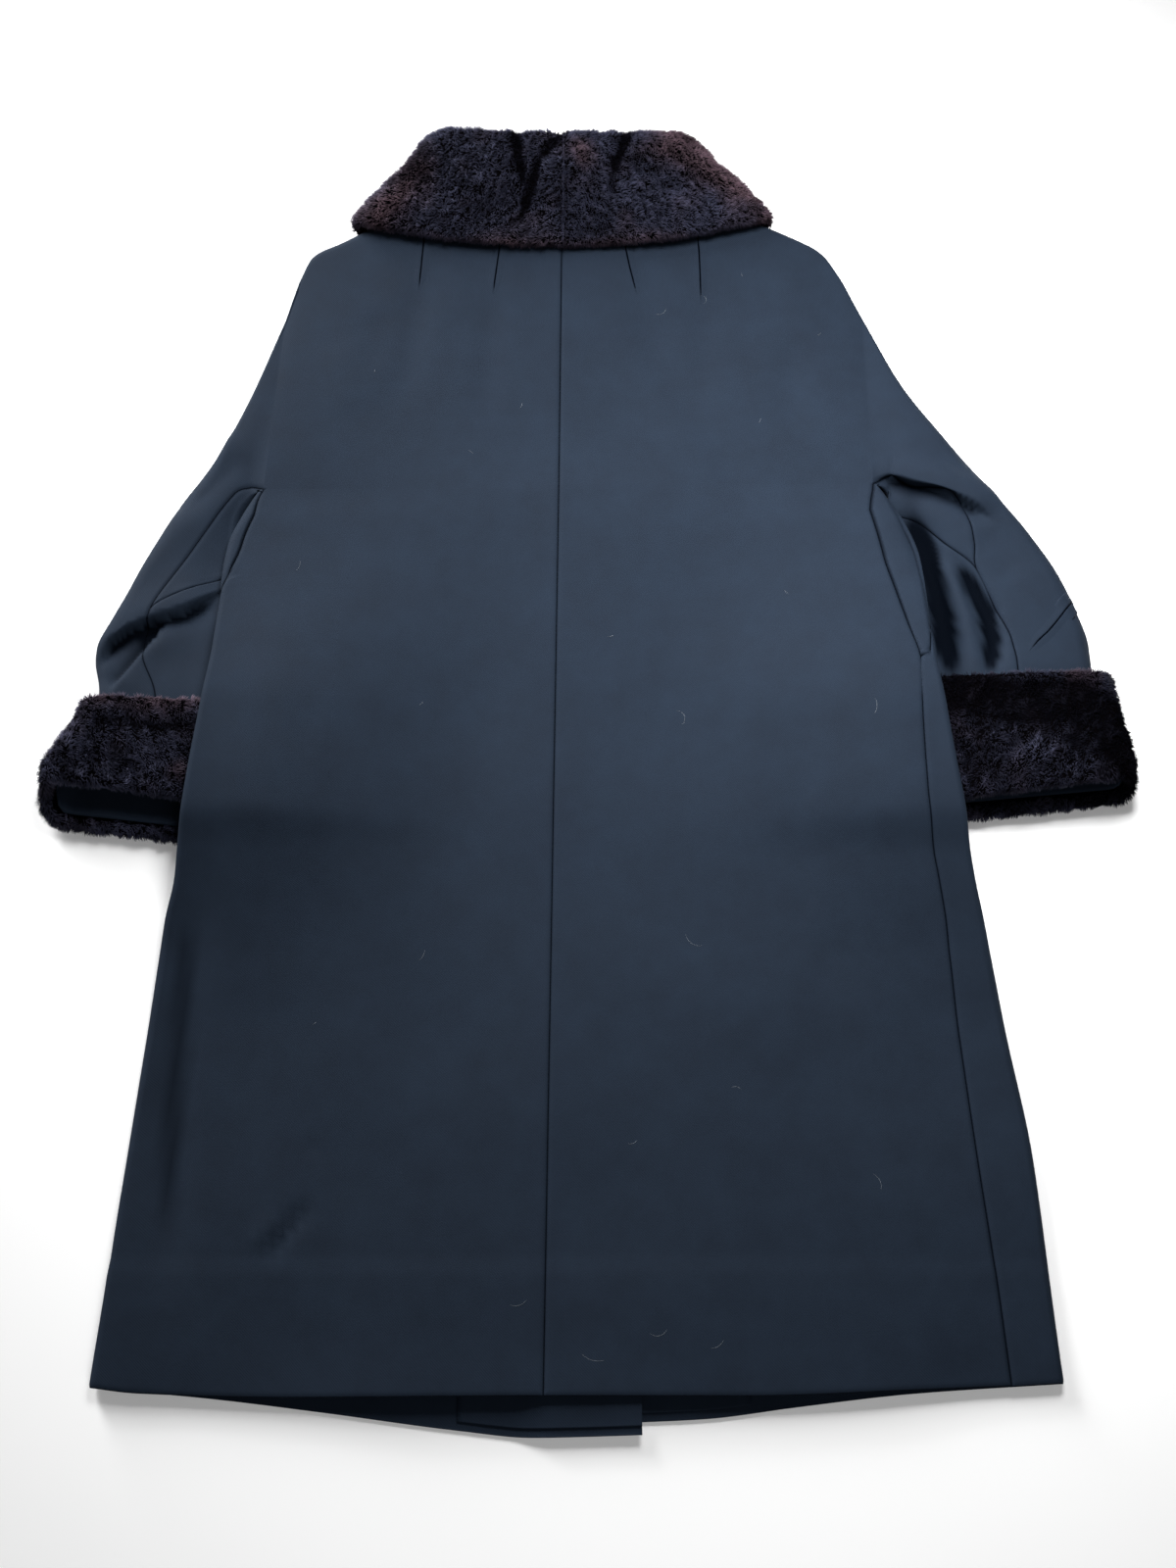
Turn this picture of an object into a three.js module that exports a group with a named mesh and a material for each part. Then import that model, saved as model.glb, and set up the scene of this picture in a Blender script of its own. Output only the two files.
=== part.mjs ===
// Swing coat of navy wool with a fur collar and fur turn-back cuffs, laid face down on a flat
// surface, back uppermost, collar away from the reader (+Y), sleeves folded in beside the body.
// Millimetres, +Z up. The fronts lie on the surface, the backs lie over them, and each panel is
// a cloth wall whose outer face is worked out from the sections in the tables below.
import * as THREE from 'three';

// Thicknesses and clearances
const CLOTH = 2.0; // shell cloth with its interlining
const FACING = 1.6;
const FUR = 11.0; // fur skin with its pile
const CUFF_FUR = 11.5;
const SEAM = 0.7; // air between two pieces along a seam
const GUSSET_DRAW = 0.9; // the gussets' sharply folded edges stay this much inside their seams
const GUSSET_REACH = 0.97; // share of the way to the front seam that a gusset's cloth reaches
const CROTCH_REACH = 0.75; // the same at the armpit, where the front's two edges meet it
const LAYER = 0.3; // air between two layers that lie on each other

// Plan of the laid coat. y is measured from the level of the elbows; the origin is the middle of
// the coat's box on the surface, so the whole plan is moved by these two amounts at the end.
const ORIGIN_X = 1;
const ORIGIN_Y = 57;

// Centre back seam: it leans a little, from the collar down to the hem
const CENTRE_AT_COLLAR = { x: -23, y: 501 };
const CENTRE_LEAN = 0.0101;

// Facings: each is a strip beside its front's edge
const FACING_SHORTER = 6.5; // the facing's hem stops above the shell's

// Collar: its two halves meet at centre back and, beneath the fronts, near this x. Its fall sags
// a little towards the side folds
const COLLAR_MID_Y = 555;
const COLLAR_END_X = 12;
const COLLAR_SAG = 5;
const COLLAR_STATIONS = [
  0, 0.2, 0.4, 0.6, 0.8, 1, 1.17, 1.33, 1.5, 1.67, 1.83, 2, 2.2, 2.4, 2.6, 2.8, 3,
];

// Height of the back over the middle of the coat
const CENTRE = [
  { y: -490, top: 16.5 }, { y: -440, top: 14.5 }, { y: -300, top: 14 }, { y: -120, top: 15 },
  { y: 0, top: 16.5 }, { y: 150, top: 18 }, { y: 272, top: 21 },
];

// Body below the armpits, one row per level. edge: where the body folds under. top and under:
// heights of the cloth beside that fold, raised where the sleeve and cuff lie beneath it.
// back and front: where the back panel and the front panel end, as stations round the section
// (0 centre back, 1 to 2 the fold, 3 the centre line underneath). The gusset lies between them.
const BODY_LEFT = [
  { y: -490, edge: -371, top: 9, under: 0, back: 1.5, front: 1.5 },
  { y: -426, edge: -366, top: 10, under: 0, back: 1.5, front: 1.5 },
  { y: -309, edge: -357, top: 11, under: 0, back: 1.5, front: 1.5 },
  { y: -217, edge: -349, top: 13, under: 0, back: 1.5, front: 1.5 },
  { y: -155, edge: -343, top: 19, under: 5, back: 1.5, front: 1.5 },
  { y: -123, edge: -339, top: 25, under: 13, back: 1.5, front: 1.5 },
  { y: -92, edge: -332, top: 33, under: 22, back: 1.5, front: 1.5 },
  { y: -63, edge: -329, top: 42, under: 32, back: 1.5, front: 1.5 },
  { y: -35, edge: -326, top: 52, under: 43, back: 1.5, front: 1.5 },
  { y: 5, edge: -322, top: 54, under: 45, back: 1.5, front: 1.5 },
  { y: 53, edge: -317, top: 53, under: 44, back: 1.5, front: 1.5 },
  { y: 110, edge: -312, top: 44, under: 35, back: 1.5, front: 1.5 },
  { y: 150, edge: -311, top: 36, under: 26, back: 1.5, front: 1.5 },
  { y: 181, edge: -311, top: 31, under: 20, back: 1.0, front: 1.8 },
  { y: 211, edge: -309, top: 27, under: 15, back: 0.978, front: 1.95 },
  { y: 240, edge: -300, top: 24, under: 8, back: 0.989, front: 2.0 },
  { y: 254, edge: -294, top: 22, under: 3, back: 0.996, front: 2.0 },
  { y: 265, edge: -288, top: 21, under: 0, back: 1.0, front: 2.0 },
];
const BODY_RIGHT = [
  { y: -490, edge: 355, top: 9, under: 0, back: 0.91, front: 0.91 },
  { y: -426, edge: 351, top: 10, under: 0, back: 0.909, front: 0.909 },
  { y: -309, edge: 344, top: 11, under: 0, back: 0.899, front: 0.899 },
  { y: -217, edge: 331, top: 13, under: 0, back: 0.913, front: 0.913 },
  { y: -153, edge: 322, top: 19, under: 5, back: 0.925, front: 0.925 },
  { y: -123, edge: 317, top: 25, under: 13, back: 0.9285, front: 0.9285 },
  { y: -93, edge: 311, top: 32, under: 21, back: 0.93, front: 0.93 },
  { y: -68, edge: 307, top: 38, under: 28, back: 0.927, front: 0.927 },
  { y: -35, edge: 303, top: 50, under: 41, back: 0.928, front: 0.928 },
  { y: -5, edge: 299, top: 52, under: 43, back: 0.936, front: 0.936 },
  { y: 52, edge: 293, top: 52, under: 43, back: 0.954, front: 0.954 },
  { y: 95, edge: 289, top: 47, under: 38, back: 0.972, front: 0.972 },
  { y: 130, edge: 287, top: 40, under: 31, back: 0.953, front: 1.5 },
  { y: 164, edge: 286, top: 35, under: 25, back: 0.9315, front: 1.75 },
  { y: 196, edge: 284, top: 30, under: 19, back: 0.916, front: 1.9 },
  { y: 235, edge: 273, top: 26, under: 11, back: 0.934, front: 2.0 },
  { y: 255, edge: 263, top: 23, under: 4, back: 0.963, front: 2.0 },
  { y: 270, edge: 254, top: 21, under: 0, back: 1.0, front: 2.0 },
];

// Upper body, one row per rib from the armpit level up to the neck, shoulder and outer sleeve.
// at: share of the way from centre back (0) to the armpit (1). x, y: the rib's outer end.
// rim: height of that end. top and middle: height of the back beside the end and half way.
const YOKE_LEFT = [
  { at: 0, x: -23.6, y: 560, rim: 44, top: 44, middle: 24 },
  { at: 0.2, x: -60, y: 566, rim: 42, top: 43, middle: 24 },
  { at: 0.38, x: -101, y: 582, rim: 31, top: 37, middle: 24 },
  { at: 0.6, x: -165, y: 551, rim: 23, top: 30, middle: 23 },
  { at: 0.78, x: -225, y: 520, rim: 18, top: 25, middle: 22 },
  { at: 0.87, x: -250, y: 509, rim: 13, top: 22, middle: 21 },
  { at: 0.94, x: -261, y: 486, rim: 10, top: 20, middle: 20 },
  { at: 1, x: -273, y: 443, rim: 8, top: 17, middle: 19 },
];
const YOKE_RIGHT = [
  { at: 0, x: -23.6, y: 560, rim: 44, top: 44, middle: 24 },
  { at: 0.2, x: 14, y: 566, rim: 42, top: 43, middle: 24 },
  { at: 0.38, x: 53, y: 582, rim: 31, top: 37, middle: 24 },
  { at: 0.6, x: 115, y: 556, rim: 23, top: 30, middle: 23 },
  { at: 0.78, x: 187, y: 524, rim: 18, top: 25, middle: 22 },
  { at: 0.87, x: 212, y: 511, rim: 13, top: 22, middle: 21 },
  { at: 0.94, x: 228, y: 488, rim: 10, top: 20, middle: 20 },
  { at: 1, x: 247, y: 447, rim: 8, top: 17, middle: 19 },
];
// Front neckline: it is cut lower than the back's; at counts on past the centre line below 0
const NECKLINE_LEFT = [
  { at: -0.3, x: 44, y: 491 }, { at: 0, x: -23, y: 497 }, { at: 0.2, x: -66, y: 517 },
  { at: 0.3, x: -91, y: 542 }, { at: 0.38, x: -101, y: 582 },
];
const NECKLINE_RIGHT = [
  { at: 0, x: -23, y: 494 }, { at: 0.2, x: 20, y: 516 }, { at: 0.3, x: 44, y: 542 },
  { at: 0.38, x: 53, y: 582 },
];

// Sleeves, one row per ring from the armpit to the mouth. Outer edge (ox, oy), inner edge
// (ix, iy), heights of the top near the outer edge, half way and near the inner edge, height of
// the outer fold (rim) and of the underside. back and front: stations round the ring where those
// panels end (1 to 2 crosses the top, 2 to 4 the inner fold, 4 to 5 the underside, 6 = 0 the
// outer fold); the gusset lies between them down to its tip. lean: the mouth's slant in y.
const SLEEVE_LEFT = [
  { ox: -273, oy: 443, ix: -288, iy: 265, rim: 8, outer: 17, middle: 19, inner: 21,
    under: 0, back: 2.0, front: 4.0, roll: 14, fold: 6, lean: 0 },
  { ox: -302, oy: 357, ix: -294, iy: 256, rim: 9, outer: 18, middle: 20, inner: 15,
    under: 0, back: 1.93, front: 3.8, roll: 14, fold: 7, lean: 0 },
  { ox: -325, oy: 302, ix: -300, iy: 246, rim: 10, outer: 19, middle: 21, inner: 13,
    under: 0, back: 1.76, front: 3.3, roll: 14, fold: 8, lean: 0 },
  { ox: -355, oy: 253, ix: -303, iy: 228, rim: 10, outer: 20, middle: 22, inner: 11,
    under: 0, back: 1.62, front: 2.9, roll: 14, fold: 8, lean: 0 },
  { ox: -378, oy: 205, ix: -300, iy: 198, rim: 11, outer: 22, middle: 23, inner: 12,
    under: 0, back: 1.41, front: 2.55, roll: 14, fold: 8, lean: 0 },
  { ox: -403, oy: 144, ix: -292, iy: 152, rim: 12, outer: 24, middle: 26, inner: 18,
    under: 0, back: 1.22, front: 1.22, roll: 14, fold: 9, lean: 0 },
  { ox: -415, oy: 106, ix: -285, iy: 102, rim: 15, outer: 25, middle: 27, inner: 22,
    under: 4, back: 1.27, front: 1.27, roll: 13, fold: 9, lean: 0 },
  { ox: -408, oy: 70, ix: -277, iy: 64, rim: 22, outer: 30, middle: 29.5, inner: 22.5,
    under: 12, back: 1.33, front: 1.33, roll: 12, fold: 7, lean: 0 },
  { ox: -424, oy: 20, ix: -275, iy: 12, rim: 23, outer: 32.5, middle: 31, inner: 22.5,
    under: 12, back: 1.38, front: 1.38, roll: 12, fold: 7, lean: 12 },
  { ox: -436, oy: -5, ix: -275, iy: -24, rim: 23, outer: 32.5, middle: 31, inner: 22.5,
    under: 12, back: 1.4, front: 1.4, roll: 12, fold: 7, lean: 25 },
];
const SLEEVE_RIGHT = [
  { ox: 247, oy: 447, ix: 254, iy: 270, rim: 8, outer: 17, middle: 19, inner: 21,
    under: 0, back: 2.0, front: 4.0, roll: 14, fold: 6, lean: 0 },
  { ox: 283, oy: 368, ix: 264, iy: 263, rim: 9, outer: 19, middle: 22, inner: 15,
    under: 0, back: 1.9, front: 3.6, roll: 14, fold: 7, lean: 0 },
  { ox: 322, oy: 309, ix: 263, iy: 254, rim: 10, outer: 21, middle: 24, inner: 11,
    under: 0, back: 1.72, front: 2.8, roll: 14, fold: 7, lean: 0 },
  { ox: 356, oy: 261, ix: 266, iy: 239, rim: 11, outer: 22, middle: 24, inner: 8,
    under: 0, back: 1.3, front: 1.95, roll: 14, fold: 7, lean: 0 },
  { ox: 386, oy: 216, ix: 272, iy: 214, rim: 12, outer: 23, middle: 22, inner: 8,
    under: 0, back: 1.43, front: 1.7, roll: 14, fold: 7, lean: 0 },
  { ox: 402, oy: 188, ix: 276, iy: 190, rim: 12, outer: 24, middle: 21, inner: 10,
    under: 0, back: 1.53, front: 1.53, roll: 14, fold: 7, lean: 0 },
  { ox: 415, oy: 152, ix: 279, iy: 158, rim: 13, outer: 25, middle: 22, inner: 11,
    under: 0, back: 1.5, front: 1.5, roll: 14, fold: 8, lean: 0 },
  { ox: 423, oy: 118, ix: 288, iy: 122, rim: 15, outer: 27, middle: 25, inner: 15,
    under: 4, back: 1.47, front: 1.47, roll: 13, fold: 8, lean: 0 },
  { ox: 422, oy: 93, ix: 286, iy: 89, rim: 22, outer: 30, middle: 29.5, inner: 22.5,
    under: 12, back: 1.44, front: 1.44, roll: 12, fold: 7, lean: 0 },
  { ox: 437, oy: 30, ix: 283, iy: 24, rim: 23, outer: 32.5, middle: 31, inner: 22.5,
    under: 12, back: 1.44, front: 1.44, roll: 12, fold: 7, lean: 4 },
  { ox: 439, oy: -3, ix: 281, iy: -18, rim: 23, outer: 32.5, middle: 31, inner: 22.5,
    under: 12, back: 1.44, front: 1.44, roll: 12, fold: 7, lean: 6 },
];

// Cuffs: closed fur rings over the sleeve ends, from their free upper edge to the sleeve mouth
const CUFF_LEFT = [
  { ox: -422, oy: 68, ix: -264, iy: 62, rim: 22, outer: 43, middle: 42, inner: 35,
    under: 0, roll: 20, fold: 15, lean: 0 },
  { ox: -434, oy: 36, ix: -262, iy: 30, rim: 22, outer: 47, middle: 44, inner: 35,
    under: 0, roll: 22, fold: 15, lean: 4 },
  { ox: -451, oy: 8, ix: -261, iy: -5, rim: 22, outer: 47, middle: 44, inner: 35,
    under: 0, roll: 22, fold: 15, lean: 18 },
  { ox: -452, oy: -11, ix: -262, iy: -36, rim: 21, outer: 46, middle: 43, inner: 34,
    under: 0, roll: 22, fold: 15, lean: 31 },
];
const CUFF_RIGHT = [
  { ox: 439, oy: 90, ix: 273, iy: 87, rim: 22, outer: 43, middle: 42, inner: 35,
    under: 0, roll: 20, fold: 15, lean: 0 },
  { ox: 446, oy: 55, ix: 270, iy: 50, rim: 22, outer: 47, middle: 44, inner: 35,
    under: 0, roll: 22, fold: 15, lean: 3 },
  { ox: 454, oy: 10, ix: 267, iy: 0, rim: 22, outer: 47, middle: 44, inner: 35,
    under: 0, roll: 22, fold: 15, lean: 8 },
  { ox: 453, oy: -9, ix: 267, iy: -30, rim: 21, outer: 46, middle: 43, inner: 34,
    under: 0, roll: 22, fold: 15, lean: 12 },
];

// Collar, one row from its neck seam over the roll to its free edge. Its skin side at the centre
// back (backY, backZ), at the side fold (side, sideY) and at the centre front (frontY, frontZ).
const COLLAR_LEFT = [
  { backY: 564, backZ: 46.5, side: -108, sideY: 594, frontY: 505, frontZ: 19, roll: 14 },
  { backY: 585, backZ: 46.5, side: -124, sideY: 604, frontY: 552, frontZ: 19, roll: 15 },
  { backY: 604, backZ: 47, side: -136, sideY: 613, frontY: 588, frontZ: 18.5, roll: 15 },
  { backY: 609, backZ: 49.5, side: -140, sideY: 618, frontY: 593, frontZ: 15, roll: 16 },
  { backY: 604, backZ: 52, side: -146, sideY: 614, frontY: 588, frontZ: 11.2, roll: 18 },
  { backY: 580, backZ: 50.5, side: -159, sideY: 593, frontY: 560, frontZ: 11, roll: 18 },
  { backY: 543, backZ: 43.5, side: -186, sideY: 564, frontY: 512, frontZ: 11, roll: 15 },
  { backY: 502, backZ: 35.6, side: -213, sideY: 530, frontY: 458, frontZ: 11, roll: 10 },
];
const COLLAR_RIGHT = [
  { backY: 564, backZ: 46.5, side: 60, sideY: 592, frontY: 505, frontZ: 19, roll: 14 },
  { backY: 585, backZ: 46.5, side: 77, sideY: 601, frontY: 552, frontZ: 19, roll: 15 },
  { backY: 604, backZ: 47, side: 88, sideY: 609, frontY: 588, frontZ: 18.5, roll: 15 },
  { backY: 609, backZ: 49.5, side: 92, sideY: 613, frontY: 593, frontZ: 15, roll: 16 },
  { backY: 604, backZ: 52, side: 98, sideY: 609, frontY: 588, frontZ: 11.2, roll: 18 },
  { backY: 580, backZ: 50.5, side: 112, sideY: 590, frontY: 560, frontZ: 11, roll: 18 },
  { backY: 543, backZ: 43.5, side: 140, sideY: 565, frontY: 512, frontZ: 11, roll: 15 },
  { backY: 502, backZ: 35.6, side: 166, sideY: 535, frontY: 458, frontZ: 11, roll: 10 },
];

// Hems: y of the back hem and of the front hem across the coat
const BACK_HEM = [
  { x: -371, y: -480 }, { x: -335, y: -484 }, { x: -218, y: -487 }, { x: -35, y: -486 },
  { x: 116, y: -486 }, { x: 257, y: -481 }, { x: 353, y: -477 },
];
const FRONT_HEM_LEFT = [
  { x: -371, y: -480 }, { x: -286, y: -487 }, { x: -199, y: -497 }, { x: -96, y: -510 },
  { x: -40, y: -515 }, { x: 44, y: -513 },
];
const FRONT_HEM_RIGHT = [
  { x: -20, y: -506 }, { x: 84, y: -502 }, { x: 159, y: -493 }, { x: 241, y: -484 },
  { x: 353, y: -477 },
];

// Across the coat the back rises from the middle to the edge over this band, measured inwards
// from the edge; the front below it does the same
const RISE_LEFT = { from: 250, to: 44 };
const RISE_RIGHT = { from: 230, to: 26 };
const EDGE_FOLD = 12; // greatest half width of the body's folded edge
const FOLD_SHAPE = 0.6; // half width of that fold for each mm of its height
const ARMPIT_FOLD = 6; // the same at the armpit
const ARMPIT_SPAN = 45; // length over which the fold narrows towards the armpit
const YOKE_ROLL = 9; // half width of the folded shoulder
const NECK_SHARE = 0.38; // share of the width from centre to armpit that the neck takes up
const NECK_RIM_FROM = 0.55; // share of the neck from which the front's rim rises to the back's
const HEM_FROM = -300; // below this level the cloth's rows follow the hem

// The front of the collar lies beneath the fronts and lifts them around the neck
const COLLAR_LIFT = { height: 14.5, from: 366, to: 455, centre: -24, reach: 238, fade: 50 };
// The left front climbs over the right front and its facing
const OVERLAP_LIFT = { height: CLOTH + FACING + 2.4, from: -60, to: -25 };

// How finely each piece is divided
const BACK_ACROSS = [0, 0.12, 0.24, 0.35, 0.45, 0.54, 0.62, 0.7, 0.775, 0.85, 0.925, 1];
// The back's inner columns run straight up to this share of its width, at this station
const STEADY_SHARE = 0.7;
const STEADY_STATION = 0.88;
const FRONT_ACROSS = [0, 0.05, 0.1, 0.17, 0.25, 0.34, 0.44, 0.54, 0.65, 0.76, 0.88, 1];
const BACK_STEPS = [2, 1.75, 1.5, 1.25, 1, 0.8, 0.55, 0.27, 0];
const FRONT_STEPS = [2, 1.88, 1.75, 1.62, 1.5, 1.37, 1.25, 1.12, 1, 0.84, 0.68, 0.5, 0.25, 0];
const LEFT_FACING_COLUMNS = [-97, -79, -60, -50, -42.5, -35, -25, 7, 40];
const RIGHT_FACING_COLUMNS = [121, 90, 60, 30, 7, -16];
const GUSSET_STEPS = 6;
const CUFF_STEPS = 24;
const SLEEVE_SUBSTEPS = 1;
const CUFF_SUBSTEPS = 2;
const COLLAR_SUBSTEPS = 2;

// ---------------------------------------------------------------------------------------------
// Interpolation

// Smooth curve through one column of a table, with no overshoot between rows
function curve(rows, key, column) {
  const x = rows.map((row) => row[key]);
  const y = rows.map((row) => row[column]);
  const last = x.length - 1;
  const slope = x.slice(1).map((value, i) => (y[i + 1] - y[i]) / (value - x[i]));
  const tangent = x.map((_, i) => {
    if (i === 0) return slope[0];
    if (i === last) return slope[last - 1];
    if (slope[i - 1] * slope[i] <= 0) return 0;
    return (2 * slope[i - 1] * slope[i]) / (slope[i - 1] + slope[i]);
  });
  return (at) => {
    const t = Math.min(Math.max(at, x[0]), x[last]);
    let i = 0;
    while (i < last - 1 && t > x[i + 1]) i += 1;
    const span = x[i + 1] - x[i];
    const s = (t - x[i]) / span;
    const rest = 1 - s;
    return y[i] * (1 + 2 * s) * rest * rest + y[i + 1] * s * s * (3 - 2 * s)
      + span * (tangent[i] * s * rest * rest - tangent[i + 1] * s * s * rest);
  };
}

// All columns of a table at once, by row number or by a named key
function sheetOf(rows, key = 'index') {
  const numbered = rows.map((row, index) => ({ index, ...row }));
  const columns = Object.keys(rows[0]).filter((name) => name !== key);
  const curves = columns.map((name) => [name, curve(numbered, key, name)]);
  return (at) => Object.fromEntries(curves.map(([name, value]) => [name, value(at)]));
}

const mix = (a, b, t) => a + (b - a) * t;
const ramp = (t) => {
  const s = Math.min(Math.max(t, 0), 1);
  return s * s * (3 - 2 * s);
};
// Parabola through three heights at the start, middle and end of a rib
const bow = (start, middle, end, t) =>
  start * (1 - t) * (1 - 2 * t) + middle * 4 * t * (1 - t) + end * t * (2 * t - 1);

// ---------------------------------------------------------------------------------------------
// The laid coat as surfaces

const centreX = (y) => CENTRE_AT_COLLAR.x - CENTRE_LEAN * (CENTRE_AT_COLLAR.y - y);
const centreTop = curve(CENTRE, 'y', 'top');

// How far the collar's front lifts the fronts at a place
function collarLift(x, y) {
  const near = (COLLAR_LIFT.reach - Math.abs(x - COLLAR_LIFT.centre)) / COLLAR_LIFT.fade;
  const up = (y - COLLAR_LIFT.from) / (COLLAR_LIFT.to - COLLAR_LIFT.from);
  return COLLAR_LIFT.height * ramp(near) * ramp(up);
}

// How far the left front is lifted off the surface where it crosses the right front
const overlapLift = (x) =>
  OVERLAP_LIFT.height * ramp((x - OVERLAP_LIFT.from) / (OVERLAP_LIFT.to - OVERLAP_LIFT.from));

// Point on the body's section at level y: station 0 centre back, 1 to 2 the folded edge from top
// to underside, 3 the centre line underneath
function bodyPoint(side, station, y) {
  const row = side.body(y);
  const centre = centreX(y);
  const direction = Math.sign(row.edge - centre);
  const width = Math.abs(row.edge - centre);
  const fold = Math.min(
    mix(ARMPIT_FOLD, EDGE_FOLD, ramp((side.armpitY - y) / ARMPIT_SPAN)),
    FOLD_SHAPE * (row.top - row.under));
  const flat = width - fold;
  const rise = (reach) => ramp((side.rise.from - (width - reach)) / (side.rise.from - side.rise.to));
  const topAt = (reach) => mix(centreTop(y), row.top, rise(reach));
  const underAt = (reach) => row.under * rise(reach);
  if (station <= 1) {
    return new THREE.Vector3(centre + direction * station * flat, y, topAt(station * flat));
  }
  if (station < 2) {
    const angle = (station - 1) * Math.PI;
    const middle = (topAt(flat) + underAt(flat)) / 2;
    const half = (topAt(flat) - underAt(flat)) / 2;
    const reach = flat + fold * Math.sin(angle);
    return new THREE.Vector3(centre + direction * reach, y, middle + half * Math.cos(angle));
  }
  const reach = (3 - station) * flat;
  return new THREE.Vector3(centre + direction * reach, y, underAt(Math.max(reach, 0)));
}

// Station of the underside at which a front edge lies
function edgeStation(side, x, y) {
  const flat = bodyPoint(side, 1, y).x - centreX(y);
  return 3 - (x - centreX(y)) / flat;
}

// Point on a ring: stations 0 to 1 roll up from the outer fold, 1 to 2 cross the top, 2 to 4 go
// round the inner fold, 4 to 5 cross the underside and 5 to 6 roll up to the outer fold again
function ringPoint(row, station) {
  const width = Math.hypot(row.ix - row.ox, row.iy - row.oy);
  const flat = width - row.roll - row.fold;
  const top = (reach) => bow(row.outer, row.middle, row.inner, reach / width);
  let reach = 0;
  let z = 0;
  if (station <= 1 || station >= 5) {
    const turn = (station <= 1 ? 1 - station : station - 5) * Math.PI / 2;
    reach = row.roll * (1 - Math.sin(turn));
    z = mix(row.rim, station <= 1 ? top(row.roll) : row.under, Math.cos(turn));
  } else if (station <= 2) {
    reach = row.roll + (station - 1) * flat;
    z = top(reach);
  } else if (station < 4) {
    const angle = (station - 2) * Math.PI / 2;
    const high = top(width - row.fold);
    reach = width - row.fold + row.fold * Math.sin(angle);
    z = (high + row.under) / 2 + (high - row.under) / 2 * Math.cos(angle);
  } else {
    reach = row.roll + (5 - station) * flat;
    z = row.under;
  }
  const lean = row.lean * ramp((top(width / 2) - z) / (top(width / 2) - row.under));
  const share = reach / width;
  return new THREE.Vector3(mix(row.ox, row.ix, share), mix(row.oy, row.iy, share) - lean, z);
}

// Point on a rib of the upper back: 0 the rim, 1 beside it, 2 the armpit level
function yokePoint(side, at, step) {
  const row = side.yoke(at);
  const inner = bodyPoint(side, at, side.armpitY);
  const width = Math.hypot(inner.x - row.x, inner.y - row.y);
  const top = (reach) => bow(row.top, row.middle, inner.z, reach / width);
  const turn = (1 - Math.min(step, 1)) * Math.PI / 2;
  const reach = step <= 1 ? YOKE_ROLL * (1 - Math.sin(turn)) : mix(YOKE_ROLL, width, step - 1);
  const z = step <= 1 ? mix(row.rim, top(YOKE_ROLL), Math.cos(turn)) : top(reach);
  return new THREE.Vector3(mix(row.x, inner.x, reach / width), mix(row.y, inner.y, reach / width), z);
}
// Point on a rib of the upper front: the same rim as the back outside the neck, the neckline
// inside it, and underneath it the surface or the collar
function frontYokePoint(side, at, step) {
  const inNeck = at < NECK_SHARE;
  const row = side.yoke(Math.max(at, 0));
  const end = inNeck ? side.neckline(at) : row;
  const inner = bodyPoint(side, 3 - at, side.armpitY);
  const width = Math.hypot(inner.x - end.x, inner.y - end.y);
  const turn = (1 - Math.min(step, 1)) * Math.PI / 2;
  const reach = step <= 1 ? YOKE_ROLL * (1 - Math.sin(turn)) : mix(YOKE_ROLL, width, step - 1);
  const x = mix(end.x, inner.x, reach / width);
  const y = mix(end.y, inner.y, reach / width);
  const under = collarLift(x, y);
  const rimShare = ramp((at / NECK_SHARE - NECK_RIM_FROM) / (1 - NECK_RIM_FROM));
  const rim = mix(under, row.rim, rimShare);
  return new THREE.Vector3(x, y, step <= 1 ? mix(rim, under, Math.cos(turn)) : under);
}

// What the two halves of the coat are made from. gussetRing and gussetY: where the gusset's two
// lower tips lie, on the sleeve and on the body
const LEFT = {
  body: sheetOf(BODY_LEFT, 'y'), levels: BODY_LEFT.map((row) => row.y), armpitY: 265,
  rise: RISE_LEFT, yoke: sheetOf(YOKE_LEFT, 'at'), neckline: sheetOf(NECKLINE_LEFT, 'at'),
  sleeve: sheetOf(SLEEVE_LEFT), rings: SLEEVE_LEFT.length, gussetRing: 5, gussetY: 150,
  frontHem: curve(FRONT_HEM_LEFT, 'x', 'y'),
  lift: overlapLift, facingColumns: LEFT_FACING_COLUMNS,
};
const RIGHT = {
  body: sheetOf(BODY_RIGHT, 'y'), levels: BODY_RIGHT.map((row) => row.y), armpitY: 270,
  rise: RISE_RIGHT, yoke: sheetOf(YOKE_RIGHT, 'at'), neckline: sheetOf(NECKLINE_RIGHT, 'at'),
  sleeve: sheetOf(SLEEVE_RIGHT), rings: SLEEVE_RIGHT.length, gussetRing: 5, gussetY: 95,
  frontHem: curve(FRONT_HEM_RIGHT, 'x', 'y'),
  lift: () => 0, facingColumns: RIGHT_FACING_COLUMNS,
};
const backHem = curve(BACK_HEM, 'x', 'y');

// Level y stretched so that the lowest level follows the hem
function withHem(y, levels, hemY) {
  const low = levels[0];
  const near = ramp((HEM_FROM - y) / (HEM_FROM - low));
  return y + (hemY - low) * near;
}

// Ring numbers along a tube, finer than its table by the given number of steps
function ringNumbers(from, to, substeps) {
  const count = (to - from) * substeps;
  return Array.from({ length: count + 1 }, (_, i) => from + i / substeps);
}

// ---------------------------------------------------------------------------------------------
// Grids of points, one for each stretch of a piece

// Station across the back at level y: the last columns take up the way the side seam wanders
function backStation(side, share, y) {
  if (share <= STEADY_SHARE) return (share / STEADY_SHARE) * STEADY_STATION;
  return mix(STEADY_STATION, side.body(y).back, (share - STEADY_SHARE) / (1 - STEADY_SHARE));
}

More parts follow.
